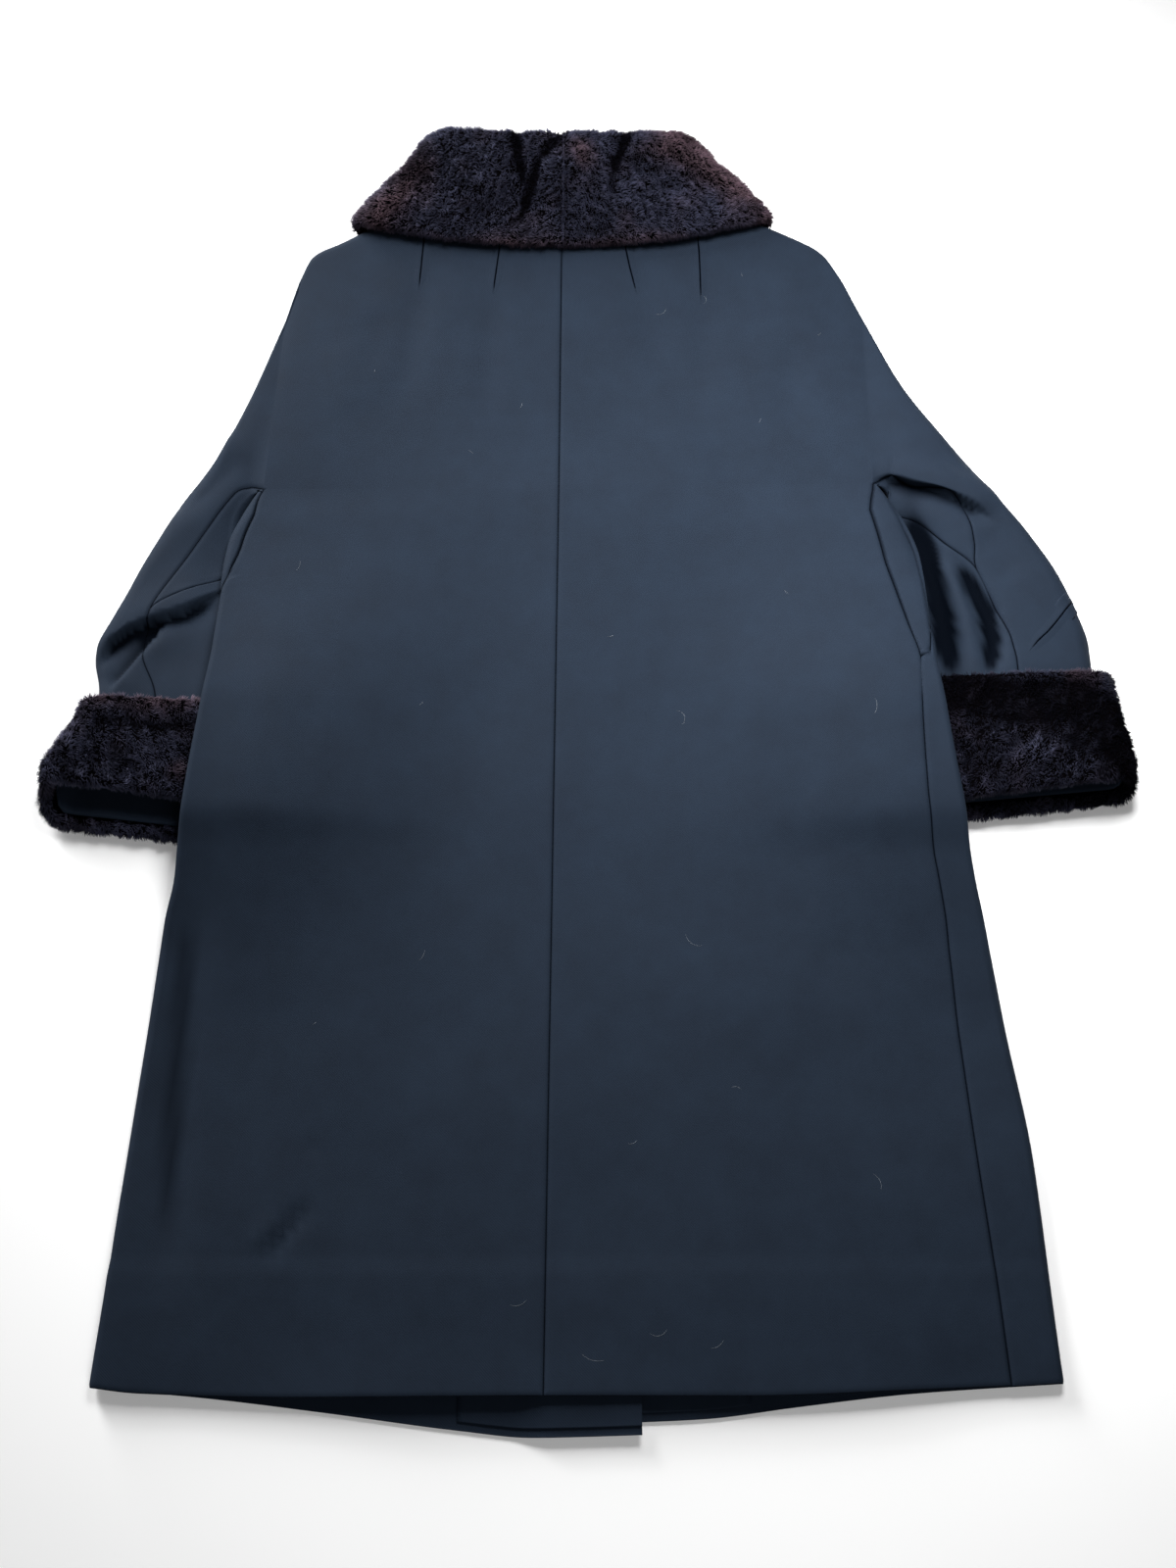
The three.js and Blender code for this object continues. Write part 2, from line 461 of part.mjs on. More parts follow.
function backGrids(side) {
  const body = BACK_ACROSS.map((share) => side.levels.map((level) => {
    const place = bodyPoint(side, backStation(side, share, level), level);
    const y = withHem(level, side.levels, backHem(place.x));
    return bodyPoint(side, backStation(side, share, y), y);
  }));
  const yoke = BACK_ACROSS.map((share) => {
    const at = backStation(side, share, side.armpitY);
    return BACK_STEPS.map((step) => yokePoint(side, at, step));
  });
  const sleeve = ringNumbers(1, side.rings - 1, SLEEVE_SUBSTEPS).map((ring) => {
    const row = side.sleeve(ring);
    return BACK_STEPS.map((step) =>
      ringPoint(row, step <= 1 ? step : mix(1, row.back, step - 1)));
  });
  return [body, [...yoke, ...sleeve]];
}

// Stations across a front at level y: from its side seam to the facing's inner edge by shares,
// then at the facing's columns up to the front edge
function frontStations(side, y) {
  const from = side.body(y).front;
  const to = edgeStation(side, side.facingColumns[0], y);
  const columns = side.facingColumns.map((x) => edgeStation(side, x, y));
  return [...FRONT_ACROSS.map((share) => mix(from, to, share)), ...columns.slice(1)];
}

function frontBody(side, hemShift) {
  return side.levels.map((level) => frontStations(side, level).map((station, i) => {
    const place = bodyPoint(side, station, level);
    const y = withHem(level, side.levels, side.frontHem(place.x) + hemShift);
    const point = bodyPoint(side, frontStations(side, y)[i], y);
    point.z += side.lift(point.x);
    return point;
  }));
}

function frontYoke(side) {
  return frontStations(side, side.armpitY).map((station) => FRONT_STEPS.map((step) => {
    const point = frontYokePoint(side, 3 - station, step);
    point.z += side.lift(point.x);
    return point;
  }));
}

function frontGrids(side) {
  const sleeve = ringNumbers(1, side.rings - 1, SLEEVE_SUBSTEPS).map((ring) => {
    const row = side.sleeve(ring);
    return FRONT_STEPS.map((_, i) =>
      ringPoint(row, mix(row.front, 6, i / (FRONT_STEPS.length - 1))));
  });
  return [frontBody(side, 0), [...frontYoke(side).reverse(), ...sleeve]];
}

// The facing is the strip of the front beside its edge, up to the neckline's roll
function facingGrids(side) {
  const first = FRONT_ACROSS.length - 1;
  const body = frontBody(side, FACING_SHORTER).map((row) => row.slice(first));
  const rollStep = FRONT_STEPS.indexOf(1) + 1;
  const yoke = frontYoke(side).slice(first).map((rib) => rib.slice(0, rollStep));
  return [body, yoke.reverse()];
}

function gussetGrids(side) {
  const shares = (reach) => Array.from({ length: GUSSET_STEPS + 1 }, (_, i) =>
    (reach * i) / GUSSET_STEPS);
  const levels = side.levels.filter((level) => level >= side.gussetY);
  const body = levels.map((level) => {
    const { back, front } = side.body(level);
    const reach = level === side.armpitY ? CROTCH_REACH : GUSSET_REACH;
    return shares(reach).map((share) => bodyPoint(side, mix(back, front, share), level));
  });
  const sleeve = ringNumbers(1, side.gussetRing, SLEEVE_SUBSTEPS).map((ring) => {
    const row = side.sleeve(ring);
    return shares(GUSSET_REACH).map((share) => ringPoint(row, mix(row.back, row.front, share)));
  });
  return [[...body, ...sleeve]];
}

function cuffGrid(rows) {
  const ring = sheetOf(rows);
  return [ringNumbers(0, rows.length - 1, CUFF_SUBSTEPS).map((number) => {
    const row = ring(number);
    return Array.from({ length: CUFF_STEPS + 1 }, (_, j) =>
      ringPoint(row, (j === CUFF_STEPS ? 0 : (6 * j) / CUFF_STEPS)));
  })];
}

// Collar: round the neck from centre back (0) over the side fold to centre front (1)
function collarGrid(rows, endX) {
  const table = sheetOf(rows);
  const centre = centreX(COLLAR_MID_Y);
  return [ringNumbers(0, rows.length - 1, COLLAR_SUBSTEPS).map((number) => {
    const row = table(number);
    const direction = Math.sign(row.side - centre);
    const width = Math.abs(row.side - centre);
    const flat = width - row.roll;
    return COLLAR_STATIONS.map((station) => {
      const angle = Math.min(Math.max(station - 1, 0), 1) * Math.PI;
      const below = station > 2;
      const start = below ? direction * (endX - centre) : 0;
      const share = below ? 3 - station : Math.min(station, 1);
      const reach = mix(start, flat, share) + row.roll * Math.sin(angle);
      const bend = Math.max(reach, 0) / width;
      const y = mix(mix(row.backY, row.frontY, (1 - Math.cos(angle)) / 2), row.sideY, bend * bend);
      const middle = (row.backZ + row.frontZ) / 2;
      const half = (row.backZ - row.frontZ) / 2;
      const sag = COLLAR_SAG * bend * bend * Math.max(Math.cos(angle), 0);
      return new THREE.Vector3(centre + direction * reach, y, middle + half * Math.cos(angle) - sag);
    });
  })];
}

// ---------------------------------------------------------------------------------------------
// Walls

// Direction of a line of points at one of them, to second order, also at its ends
function tangentAt(line, i) {
  const last = line.length - 1;
  const step = (from) => line[from + 1].clone().sub(line[from]);
  const near = step(Math.max(i - 1, 0));
  const far = step(i === 0 ? 1 : i === last ? last - 2 : i);
  const nearSize = near.length();
  const farSize = far.length();
  if (nearSize * farSize === 0) return near;
  near.divideScalar(nearSize);
  far.divideScalar(farSize);
  const share = nearSize / (nearSize + farSize);
  const bend = far.sub(near);
  return near.addScaledVector(bend, i === 0 || i === last ? -share : share);
}

function gridNormal(grid, i, j) {
  const column = grid.map((row) => row[j]);
  return tangentAt(column, i).cross(tangentAt(grid[i], j)).normalize();
}

// Closed wall from grids that share their edges. The grids are the face of a panel; the wall
// starts at the given depth below it and has the given thickness. facing is 1 when the grids'
// own normals point away from the panel, -1 when they point into it. The free edges are drawn in
// by the amount draw.
function wall(grids, { thickness, facing, depth = 0, draw = SEAM / 2 }) {
  const index = new Map();
  const points = [];
  const normals = [];
  const number = (grid, i, j) => {
    const point = grid[i][j];
    const key = [point.x, point.y, point.z].map((value) => Math.round(value * 1000)).join();
    if (!index.has(key)) {
      index.set(key, points.length);
      points.push(point.clone());
      normals.push(new THREE.Vector3());
    }
    const id = index.get(key);
    normals[id].addScaledVector(gridNormal(grid, i, j), facing);
    return id;
  };
  const faces = [];
  for (const grid of grids) {
    const ids = grid.map((row, i) => row.map((_, j) => number(grid, i, j)));
    for (let i = 0; i + 1 < ids.length; i += 1) {
      for (let j = 0; j + 1 < ids[i].length; j += 1) {
        const quad = [ids[i][j], ids[i + 1][j], ids[i + 1][j + 1], ids[i][j + 1]];
        for (const face of [[quad[0], quad[1], quad[2]], [quad[0], quad[2], quad[3]]]) {
          if (new Set(face).size === 3) faces.push(facing > 0 ? face : face.reverse());
        }
      }
    }
  }
  normals.forEach((normal) => normal.normalize());
  const edges = new Map();
  for (const face of faces) {
    face.forEach((id, i) => edges.set(`${id} ${face[(i + 1) % 3]}`, [id, face[(i + 1) % 3]]));
  }
  const rim = [...edges.values()].filter(([a, b]) => !edges.has(`${b} ${a}`));
  const inwards = new Map();
  for (const [a, b] of rim) {
    const along = points[b].clone().sub(points[a]).normalize();
    for (const id of [a, b]) {
      const inward = normals[id].clone().cross(along);
      inwards.set(id, (inwards.get(id) ?? new THREE.Vector3()).add(inward));
    }
  }
  for (const [id, inward] of inwards) points[id].addScaledVector(inward.normalize(), draw);
  const sunk = (amount) =>
    points.map((point, id) => point.clone().addScaledVector(normals[id], -amount));
  const count = points.length;
  const triangles = [
    ...faces,
    ...faces.map(([a, b, c]) => [c + count, b + count, a + count]),
    ...rim.flatMap(([a, b]) => [[b, a, a + count], [b, a + count, b + count]]),
  ];
  const geometry = new THREE.BufferGeometry();
  geometry.setAttribute('position', new THREE.Float32BufferAttribute(
    [...sunk(depth), ...sunk(depth + thickness)].flatMap((point) => point.toArray()), 3));
  geometry.setIndex(triangles.flat());
  geometry.computeVertexNormals();
  return geometry;
}

// ---------------------------------------------------------------------------------------------
// The coat

const wool = () => new THREE.MeshStandardMaterial({ color: 0x2a3340, roughness: 0.85, metalness: 0 });
const fur = () => new THREE.MeshStandardMaterial({ color: 0x241d22, roughness: 0.9, metalness: 0 });

const coat = new THREE.Group();
coat.position.set(-ORIGIN_X, -ORIGIN_Y, 0);

function add(name, material, grids, shape) {
  const mesh = new THREE.Mesh(wall(grids, shape), material);
  mesh.name = name;
  coat.add(mesh);
}

// Left and right grids are mirror images, so their normals point opposite ways. gap keeps the
// collar's two ends apart
const sides = [
  { name: 'left', side: LEFT, facing: 1, collar: COLLAR_LEFT, cuff: CUFF_LEFT, gap: -SEAM },
  { name: 'right', side: RIGHT, facing: -1, collar: COLLAR_RIGHT, cuff: CUFF_RIGHT, gap: SEAM },
];
for (const { name, side, facing, collar, cuff, gap } of sides) {
  add(`back_${name}`, wool(), backGrids(side), { thickness: CLOTH, facing: -facing });
  add(`front_${name}`, wool(), frontGrids(side), { thickness: CLOTH, facing });
  add(`gusset_${name}`, wool(), gussetGrids(side), { thickness: CLOTH, facing, draw: GUSSET_DRAW });
  add(`facing_${name}`, wool(), facingGrids(side), { thickness: FACING, facing, depth: CLOTH + LAYER });
  add(`collar_${name}`, fur(), collarGrid(collar, COLLAR_END_X + gap), { thickness: FUR, facing });
  add(`cuff_${name}`, fur(), cuffGrid(cuff), { thickness: CUFF_FUR, facing });
}

export default coat;
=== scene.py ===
import bpy
import numpy as np
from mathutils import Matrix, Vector
from mathutils.bvhtree import BVHTree


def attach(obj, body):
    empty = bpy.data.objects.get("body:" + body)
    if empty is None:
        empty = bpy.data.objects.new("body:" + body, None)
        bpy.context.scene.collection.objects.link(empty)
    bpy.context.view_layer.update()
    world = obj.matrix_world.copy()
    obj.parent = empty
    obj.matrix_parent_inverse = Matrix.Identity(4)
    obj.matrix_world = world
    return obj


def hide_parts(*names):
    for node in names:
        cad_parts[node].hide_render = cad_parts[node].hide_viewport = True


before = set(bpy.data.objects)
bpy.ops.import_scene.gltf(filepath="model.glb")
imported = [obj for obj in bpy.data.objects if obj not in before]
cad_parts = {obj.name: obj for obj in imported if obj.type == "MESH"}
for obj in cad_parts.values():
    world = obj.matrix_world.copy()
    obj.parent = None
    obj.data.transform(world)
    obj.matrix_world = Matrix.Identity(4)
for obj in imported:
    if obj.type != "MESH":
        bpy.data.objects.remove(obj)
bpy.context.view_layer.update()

# ---------------------------------------------------------------------------------------------
# The surface and the light
# The coat lies on a plain white surface. A window and a low doorway beyond the collar on the left
# throw soft shadows to the right and towards the hem, a lamp above the shoulders lights the upper
# back, and the room behind the viewer fills the shadows a little.

FLOOR_DROP = 0.0004
CAMERA_TILT = np.radians(20)
CAMERA_AWAY = 1.59
LENS, SENSOR = 43.875, 36
WORLD_STRENGTH, FLOOR_REACH, FLOOR_GLOW = 0.05, 6, 0.16
AIM = np.array([-0.001, -0.057, 0.0])


def placed(name, data, place=(0, 0, 0), turn=(0, 0, 0)):
    """An object of the scene at a place, turned by angles in radians."""
    holder = bpy.data.objects.new(name, data)
    holder.location, holder.rotation_euler = place, turn
    bpy.context.scene.collection.objects.link(holder)
    return holder


def feed(tree, node, inputs):
    """A node's inputs by name: each is given a value, or is linked to a socket."""
    for key, value in inputs.items():
        if isinstance(value, bpy.types.NodeSocket):
            tree.links.new(value, node.inputs[key])
        else:
            node.inputs[key].default_value = value


def material_of(name):
    """A new material, its node tree and its shader."""
    material = bpy.data.materials.new(name)
    material.use_nodes = True
    return material, material.node_tree, material.node_tree.nodes["Principled BSDF"]


def soft_light(name, place, aim, size, power, spread):
    """A square area light at a place, turned towards a point, with a spread in degrees."""
    lamp = bpy.data.lights.new(name, "AREA")
    lamp.shape, lamp.size, lamp.energy, lamp.spread = "SQUARE", size, power, np.radians(spread)
    turn = (Vector(aim) - Vector(place)).to_track_quat("-Z", "Y").to_euler()
    placed(name, lamp, place, turn)


camera_data = bpy.data.cameras.new("camera")
camera_data.sensor_fit, camera_data.sensor_height = "VERTICAL", SENSOR
camera_data.lens, camera_data.clip_start = LENS, 0.05
bpy.context.scene.camera = placed(
    "camera", camera_data,
    AIM + CAMERA_AWAY * np.array([0, -np.sin(CAMERA_TILT), np.cos(CAMERA_TILT)]),
    (CAMERA_TILT, 0, 0),
)  # fmt: skip
bpy.context.scene.view_settings.view_transform = "Standard"

world = bpy.data.worlds.new("studio")
world.use_nodes = True
feed(
    world.node_tree, world.node_tree.nodes["Background"],
    {"Color": (1.0, 1.0, 1.0, 1), "Strength": WORLD_STRENGTH},
)  # fmt: skip
bpy.context.scene.world = world

soft_light("window", (-1.1, 1.15, 0.9), (0.05, 0, 0), 0.6, 28, 180)
soft_light("doorway", (-1.7, 2.3, 0.72), (0.1, -0.1, 0), 1.0, 85, 180)
soft_light("lamp", (0.2, 0.52, 0.98), (0.2, 0.12, 0), 0.5, 6.2, 80)
soft_light("room", (0.2, -1.6, 1.0), (0, 0.2, 0), 0.8, 5.5, 180)

floor_mesh = bpy.data.meshes.new("floor")
floor_mesh.from_pydata(
    [(x * FLOOR_REACH, y * FLOOR_REACH, -FLOOR_DROP)
     for x, y in ((-1, -1), (1, -1), (1, 1), (-1, 1))], [], [(0, 1, 2, 3)],
)  # fmt: skip
floor = placed("floor", floor_mesh)
floor_paint, tree, paint = material_of("white_surface")
feed(tree, paint, {
    "Base Color": (0.9, 0.9, 0.9, 1), "Emission Color": (1, 1, 1, 1),
    "Emission Strength": FLOOR_GLOW, "Roughness": 0.9, "Specular IOR Level": 0.1,
})  # fmt: skip
floor_mesh.materials.append(floor_paint)

# ---------------------------------------------------------------------------------------------
# Backs
# Each half of the back is cut in one with the top of its sleeve, from fine twilled navy wool
# with its interlining. The halves are joined by the centre back seam and shaped at the neck by
# two pressed darts each. Heights and edges below are those of the coat as it lies, in
# millimetres, y counted from the level of the elbows.

CLOTH = 2.0
PLAN_X, PLAN_Y = 1.0, 57.0
CENTRE_X, CENTRE_Y, CENTRE_LEAN = -23.0, 501.0, 0.0101
EDGE_FOLD, FOLD_SHAPE, ARMPIT_FOLD, ARMPIT_SPAN, YOKE_ROLL = 12.0, 0.6, 6.0, 45.0, 9.0
STEADY_SHARE, STEADY_STATION = 0.7, 0.88
NECK_SHARE, NECK_RIM_FROM, HEM_FROM = 0.38, 0.55, -300.0


def table(names, *rows):
    """Columns of numbers by name."""
    return dict(zip(names.split(), np.array(rows, float).T))


def smooth(x, y, at):
    """Cubic through the points (x, y), read at the places at. The slope at each point is the
    harmonic mean of the slopes on its two sides, or 0 at a turn, so nothing overshoots."""
    slope = np.diff(y) / np.diff(x)
    agree = slope[:-1] * slope[1:]
    total = np.where(agree > 0, slope[:-1] + slope[1:], 1)
    inner = np.where(agree > 0, 2 * agree / total, 0)
    tangent = np.concatenate([slope[:1], inner, slope[-1:]])
    at = np.clip(at, x[0], x[-1])
    i = np.clip(np.searchsorted(x, at, side="right") - 1, 0, len(x) - 2)
    span = x[i + 1] - x[i]
    s = (at - x[i]) / span
    r = 1 - s
    bend = span * (tangent[i] * s * r * r - tangent[i + 1] * s * s * r)
    return y[i] * (1 + 2 * s) * r * r + y[i + 1] * s * s * (3 - 2 * s) + bend


def read(rows, at, key=None):
    """Every column of a table at the places at, by its key column or else by row number."""
    first = next(iter(rows.values()))
    x = np.arange(len(first), dtype=float) if key is None else rows[key]
    return {name: smooth(x, column, at) for name, column in rows.items() if name != key}


def mix(a, b, t):
    return a + (b - a) * t


def ramp(t):
    """Smooth step: 0 below 0, 1 above 1 and 3t^2-2t^3 between."""
    s = np.clip(t, 0, 1)
    return s * s * (3 - 2 * s)


def bow(start, middle, end, t):
    """Parabola through three heights at 0, 1/2 and 1."""
    return start * (1 - t) * (1 - 2 * t) + middle * 4 * t * (1 - t) + end * t * (2 * t - 1)


def points(x, y, z):
    return np.stack(np.broadcast_arrays(x, y, z), -1)


CENTRE_TOP = table(
    "y top",
    (-490, 16.5), (-440, 14.5), (-300, 14), (-120, 15), (0, 16.5), (150, 18), (272, 21),
)  # fmt: skip
BACK_HEM = table(
    "x y",
    (-371, -480), (-335, -484), (-218, -487), (-35, -486), (116, -486), (257, -481),
    (353, -477),
)  # fmt: skip

# Body below the armpits: where it folds under (edge), the heights beside that fold, and where
# the back and the front end round it
BODY_LEFT = table(
    "y edge top under back front",
    (-490, -371, 9, 0, 1.5, 1.5),
    (-426, -366, 10, 0, 1.5, 1.5),
    (-309, -357, 11, 0, 1.5, 1.5),
    (-217, -349, 13, 0, 1.5, 1.5),
    (-155, -343, 19, 5, 1.5, 1.5),
    (-123, -339, 25, 13, 1.5, 1.5),
    (-92, -332, 33, 22, 1.5, 1.5),
    (-63, -329, 42, 32, 1.5, 1.5),
    (-35, -326, 52, 43, 1.5, 1.5),
    (5, -322, 54, 45, 1.5, 1.5),
    (53, -317, 53, 44, 1.5, 1.5),
    (110, -312, 44, 35, 1.5, 1.5),
    (150, -311, 36, 26, 1.5, 1.5),
    (181, -311, 31, 20, 1.0, 1.8),
    (211, -309, 27, 15, 0.978, 1.95),
    (240, -300, 24, 8, 0.989, 2.0),
    (254, -294, 22, 3, 0.996, 2.0),
    (265, -288, 21, 0, 1.0, 2.0),
)
BODY_RIGHT = table(
    "y edge top under back front",
    (-490, 355, 9, 0, 0.91, 0.91),
    (-426, 351, 10, 0, 0.909, 0.909),
    (-309, 344, 11, 0, 0.899, 0.899),
    (-217, 331, 13, 0, 0.913, 0.913),
    (-153, 322, 19, 5, 0.925, 0.925),
    (-123, 317, 25, 13, 0.9285, 0.9285),
    (-93, 311, 32, 21, 0.93, 0.93),
    (-68, 307, 38, 28, 0.927, 0.927),
    (-35, 303, 50, 41, 0.928, 0.928),
    (-5, 299, 52, 43, 0.936, 0.936),
    (52, 293, 52, 43, 0.954, 0.954),
    (95, 289, 47, 38, 0.972, 0.972),
    (130, 287, 40, 31, 0.953, 1.5),
    (164, 286, 35, 25, 0.9315, 1.75),
    (196, 284, 30, 19, 0.916, 1.9),
    (235, 273, 26, 11, 0.934, 2.0),
    (255, 263, 23, 4, 0.963, 2.0),
    (270, 254, 21, 0, 1.0, 2.0),
)

# Upper body: one rib for each share of the way from centre back to the armpit, with its outer
# end, the height of that end, and the heights beside it and half way along
YOKE_FORM = table(
    "at rim top middle",
    (0, 44, 44, 24), (0.2, 42, 43, 24), (0.38, 31, 37, 24), (0.6, 23, 30, 23),
    (0.78, 18, 25, 22), (0.87, 13, 22, 21), (0.94, 10, 20, 20), (1, 8, 17, 19),
)  # fmt: skip
YOKE_LEFT = YOKE_FORM | table(
    "x y",
    (-23.6, 560), (-60, 566), (-101, 582), (-165, 551), (-225, 520), (-250, 509), (-261, 486),
    (-273, 443),
)  # fmt: skip
YOKE_RIGHT = YOKE_FORM | table(
    "x y",
    (-23.6, 560), (14, 566), (53, 582), (115, 556), (187, 524), (212, 511), (228, 488),
    (247, 447),
)  # fmt: skip

# Sleeves: one ring for each row, outer edge (ox, oy), inner edge (ix, iy), heights of the outer
# fold, of the top near it, half way and near the inner edge, and of the underside, where the
# back and front panels end round it, half widths of its folds and the slant of its mouth
SLEEVE_LEFT = table(
    "ox oy ix iy rim outer middle inner under back front roll fold lean",
    (-273, 443, -288, 265, 8, 17, 19, 21, 0, 2.0, 4.0, 14, 6, 0),
    (-302, 357, -294, 256, 9, 18, 20, 15, 0, 1.93, 3.8, 14, 7, 0),
    (-325, 302, -300, 246, 10, 19, 21, 13, 0, 1.76, 3.3, 14, 8, 0),
    (-355, 253, -303, 228, 10, 20, 22, 11, 0, 1.62, 2.9, 14, 8, 0),
    (-378, 205, -300, 198, 11, 22, 23, 12, 0, 1.41, 2.55, 14, 8, 0),
    (-403, 144, -292, 152, 12, 24, 26, 18, 0, 1.22, 1.22, 14, 9, 0),
    (-415, 106, -285, 102, 15, 25, 27, 22, 4, 1.27, 1.27, 13, 9, 0),
    (-408, 70, -277, 64, 22, 30, 29.5, 22.5, 12, 1.33, 1.33, 12, 7, 0),
    (-424, 20, -275, 12, 23, 32.5, 31, 22.5, 12, 1.38, 1.38, 12, 7, 12),
    (-436, -5, -275, -24, 23, 32.5, 31, 22.5, 12, 1.4, 1.4, 12, 7, 25),
)
SLEEVE_RIGHT = table(
    "ox oy ix iy rim outer middle inner under back front roll fold lean",
    (247, 447, 254, 270, 8, 17, 19, 21, 0, 2.0, 4.0, 14, 6, 0),
    (283, 368, 262, 263, 9, 19, 22, 15, 0, 1.9, 3.6, 14, 7, 0),
    (322, 309, 260.5, 254, 10, 21, 24, 11, 0, 1.72, 2.8, 14, 7, 0),
    (356, 261, 266, 239, 11, 22, 24, 8, 0, 1.3, 1.95, 14, 7, 0),
    (386, 216, 272, 214, 12, 23, 22, 8, 0, 1.43, 1.7, 14, 7, 0),
    (402, 188, 276, 190, 12, 24, 21, 10, 0, 1.53, 1.53, 14, 7, 0),
    (415, 152, 279, 158, 13, 25, 22, 11, 0, 1.5, 1.5, 14, 8, 0),
    (423, 118, 288, 122, 15, 27, 25, 15, 4, 1.47, 1.47, 13, 8, 0),
    (422, 93, 286, 89, 22, 30, 29.5, 22.5, 12, 1.44, 1.44, 12, 7, 0),
    (437, 30, 283, 24, 23, 32.5, 31, 22.5, 12, 1.44, 1.44, 12, 7, 4),
    (439, -3, 281, -18, 23, 32.5, 31, 22.5, 12, 1.44, 1.44, 12, 7, 6),
)

LEFT = {
    "name": "left", "sign": -1, "body": BODY_LEFT, "armpit": 265, "rise": (250, 44),
    "yoke": YOKE_LEFT, "sleeve": SLEEVE_LEFT, "gusset_y": 150,
}  # fmt: skip
RIGHT = {
    "name": "right", "sign": 1, "body": BODY_RIGHT, "armpit": 270, "rise": (230, 26),
    "yoke": YOKE_RIGHT, "sleeve": SLEEVE_RIGHT, "gusset_y": 95,
}  # fmt: skip


def centre_x(y):
    """The centre back seam, which leans a little."""
    return CENTRE_X - CENTRE_LEAN * (CENTRE_Y - y)


def body_parts(side, y):
    """Centre, half width without the fold, fold's half width, and the two heights' functions of
    the body's section at level y."""
    row = read(side["body"], y, "y")
    centre = centre_x(y)
    width = np.abs(row["edge"] - centre)
    fold = mix(ARMPIT_FOLD, EDGE_FOLD, ramp((side["armpit"] - y) / ARMPIT_SPAN))
    fold = np.minimum(fold, FOLD_SHAPE * (row["top"] - row["under"]))
    begin, end = side["rise"]
    middle = smooth(CENTRE_TOP["y"], CENTRE_TOP["top"], y)

    def rise(reach):
        return ramp((begin - (width - reach)) / (begin - end))

    def top(reach):
        return mix(middle, row["top"], rise(reach))

    def under(reach):
        return row["under"] * rise(np.maximum(reach, 0))

    return centre, width - fold, fold, top, under


def body_point(side, station, y):
    """Point on the body's section at level y. Station 0 is the centre back, 0 to 1 the top, 1
    to 2 half an ellipse round the folded edge, and 2 to 3 the underside back to the centre."""
    centre, flat, fold, top, under = body_parts(side, y)
    turn = np.clip(station - 1, 0, 1) * np.pi
    reach = np.where(station <= 1, station * flat, (3 - station) * flat)
    reach = np.where((station > 1) & (station < 2), flat + fold * np.sin(turn), reach)
    middle, half = (top(flat) + under(flat)) / 2, (top(flat) - under(flat)) / 2
    z = np.where(station <= 1, top(reach), under(reach))
    z = np.where((station > 1) & (station < 2), middle + half * np.cos(turn), z)
    return points(centre + side["sign"] * reach, y, z)


def ring_point(row, station):
    """Point on a flattened sleeve ring: 0 to 1 rolls up from the outer fold, 1 to 2 crosses the
    top, 2 to 4 goes round the inner fold, 4 to 5 crosses the underside, 5 to 6 rolls up again."""
    width = np.hypot(row["ix"] - row["ox"], row["iy"] - row["oy"])
    roll, fold = row["roll"], row["fold"]
    flat = width - roll - fold

    def top(reach):
        return bow(row["outer"], row["middle"], row["inner"], reach / width)

    outer = (station <= 1) | (station >= 5)
    turn = np.where(station <= 1, 1 - station, station - 5) * np.pi / 2
    angle = (station - 2) * np.pi / 2
    high = top(width - fold)
    reach = np.where(station <= 2, roll + (station - 1) * flat, roll + (5 - station) * flat)
    reach = np.where((station > 2) & (station < 4), width - fold + fold * np.sin(angle), reach)
    reach = np.where(outer, roll * (1 - np.sin(turn)), reach)
    z = np.where(station <= 2, top(reach), row["under"])
    bend = (high + row["under"]) / 2 + (high - row["under"]) / 2 * np.cos(angle)
    z = np.where((station > 2) & (station < 4), bend, z)
    side = np.where(station <= 1, top(roll), row["under"])
    z = np.where(outer, mix(row["rim"], side, np.cos(turn)), z)
    crown = top(width / 2)
    lean = row["lean"] * ramp((crown - z) / (crown - row["under"]))
    share = reach / width
    return points(
        mix(row["ox"], row["ix"], share), mix(row["oy"], row["iy"], share) - lean, z
    )


def rib(start, inner, step):
    """A rib of the upper body seen from above, from its rim (step 0) over a quarter roll (1)
    straight to its inner end (2): the roll's angle, the rib's length, the reach and its x, y."""
    width = np.hypot(inner[..., 0] - start[0], inner[..., 1] - start[1])
    turn = (1 - np.minimum(step, 1)) * np.pi / 2
    reach = np.where(step <= 1, YOKE_ROLL * (1 - np.sin(turn)), mix(YOKE_ROLL, width, step - 1))
    x, y = (mix(start[k], inner[..., k], reach / width) for k in range(2))
    return turn, width, reach, x, y


def yoke_point(side, at, step):
    """Point on a rib of the upper back, which rises from its rim to a bowed line."""
    row = read(side["yoke"], at, "at")
    inner = body_point(side, at, side["armpit"])
    turn, width, reach, x, y = rib((row["x"], row["y"]), inner, step)

    def height(reach):
        return bow(row["top"], row["middle"], inner[..., 2], reach / width)

    rise = mix(row["rim"], height(YOKE_ROLL), np.cos(turn))
    return points(x, y, np.where(step <= 1, rise, height(reach)))


def with_hem(y, low, hem):
    """Level y, moved so that the lowest level follows the hem."""
    return y + (hem - low) * ramp((HEM_FROM - y) / (HEM_FROM - low))


def back_station(side, share, y):
    """Station across the back: steady near the middle, then drawn to the side seam."""
    end = read(side["body"], y, "y")["back"]
    outer = mix(STEADY_STATION, end, (share - STEADY_SHARE) / (1 - STEADY_SHARE))
    return np.where(share <= STEADY_SHARE, share / STEADY_SHARE * STEADY_STATION, outer)


EDGE_STEPS = np.array([0, 0.8, 1.8, 3.2, 5.2, 8.0])  # rows beside an edge, from it
HEM_ROWS, SEAM_ROWS = 13, 380  # height of the rows at the hem; half width that EDGE_STEPS shares
LEVELS = np.linspace(0, 1, 112)


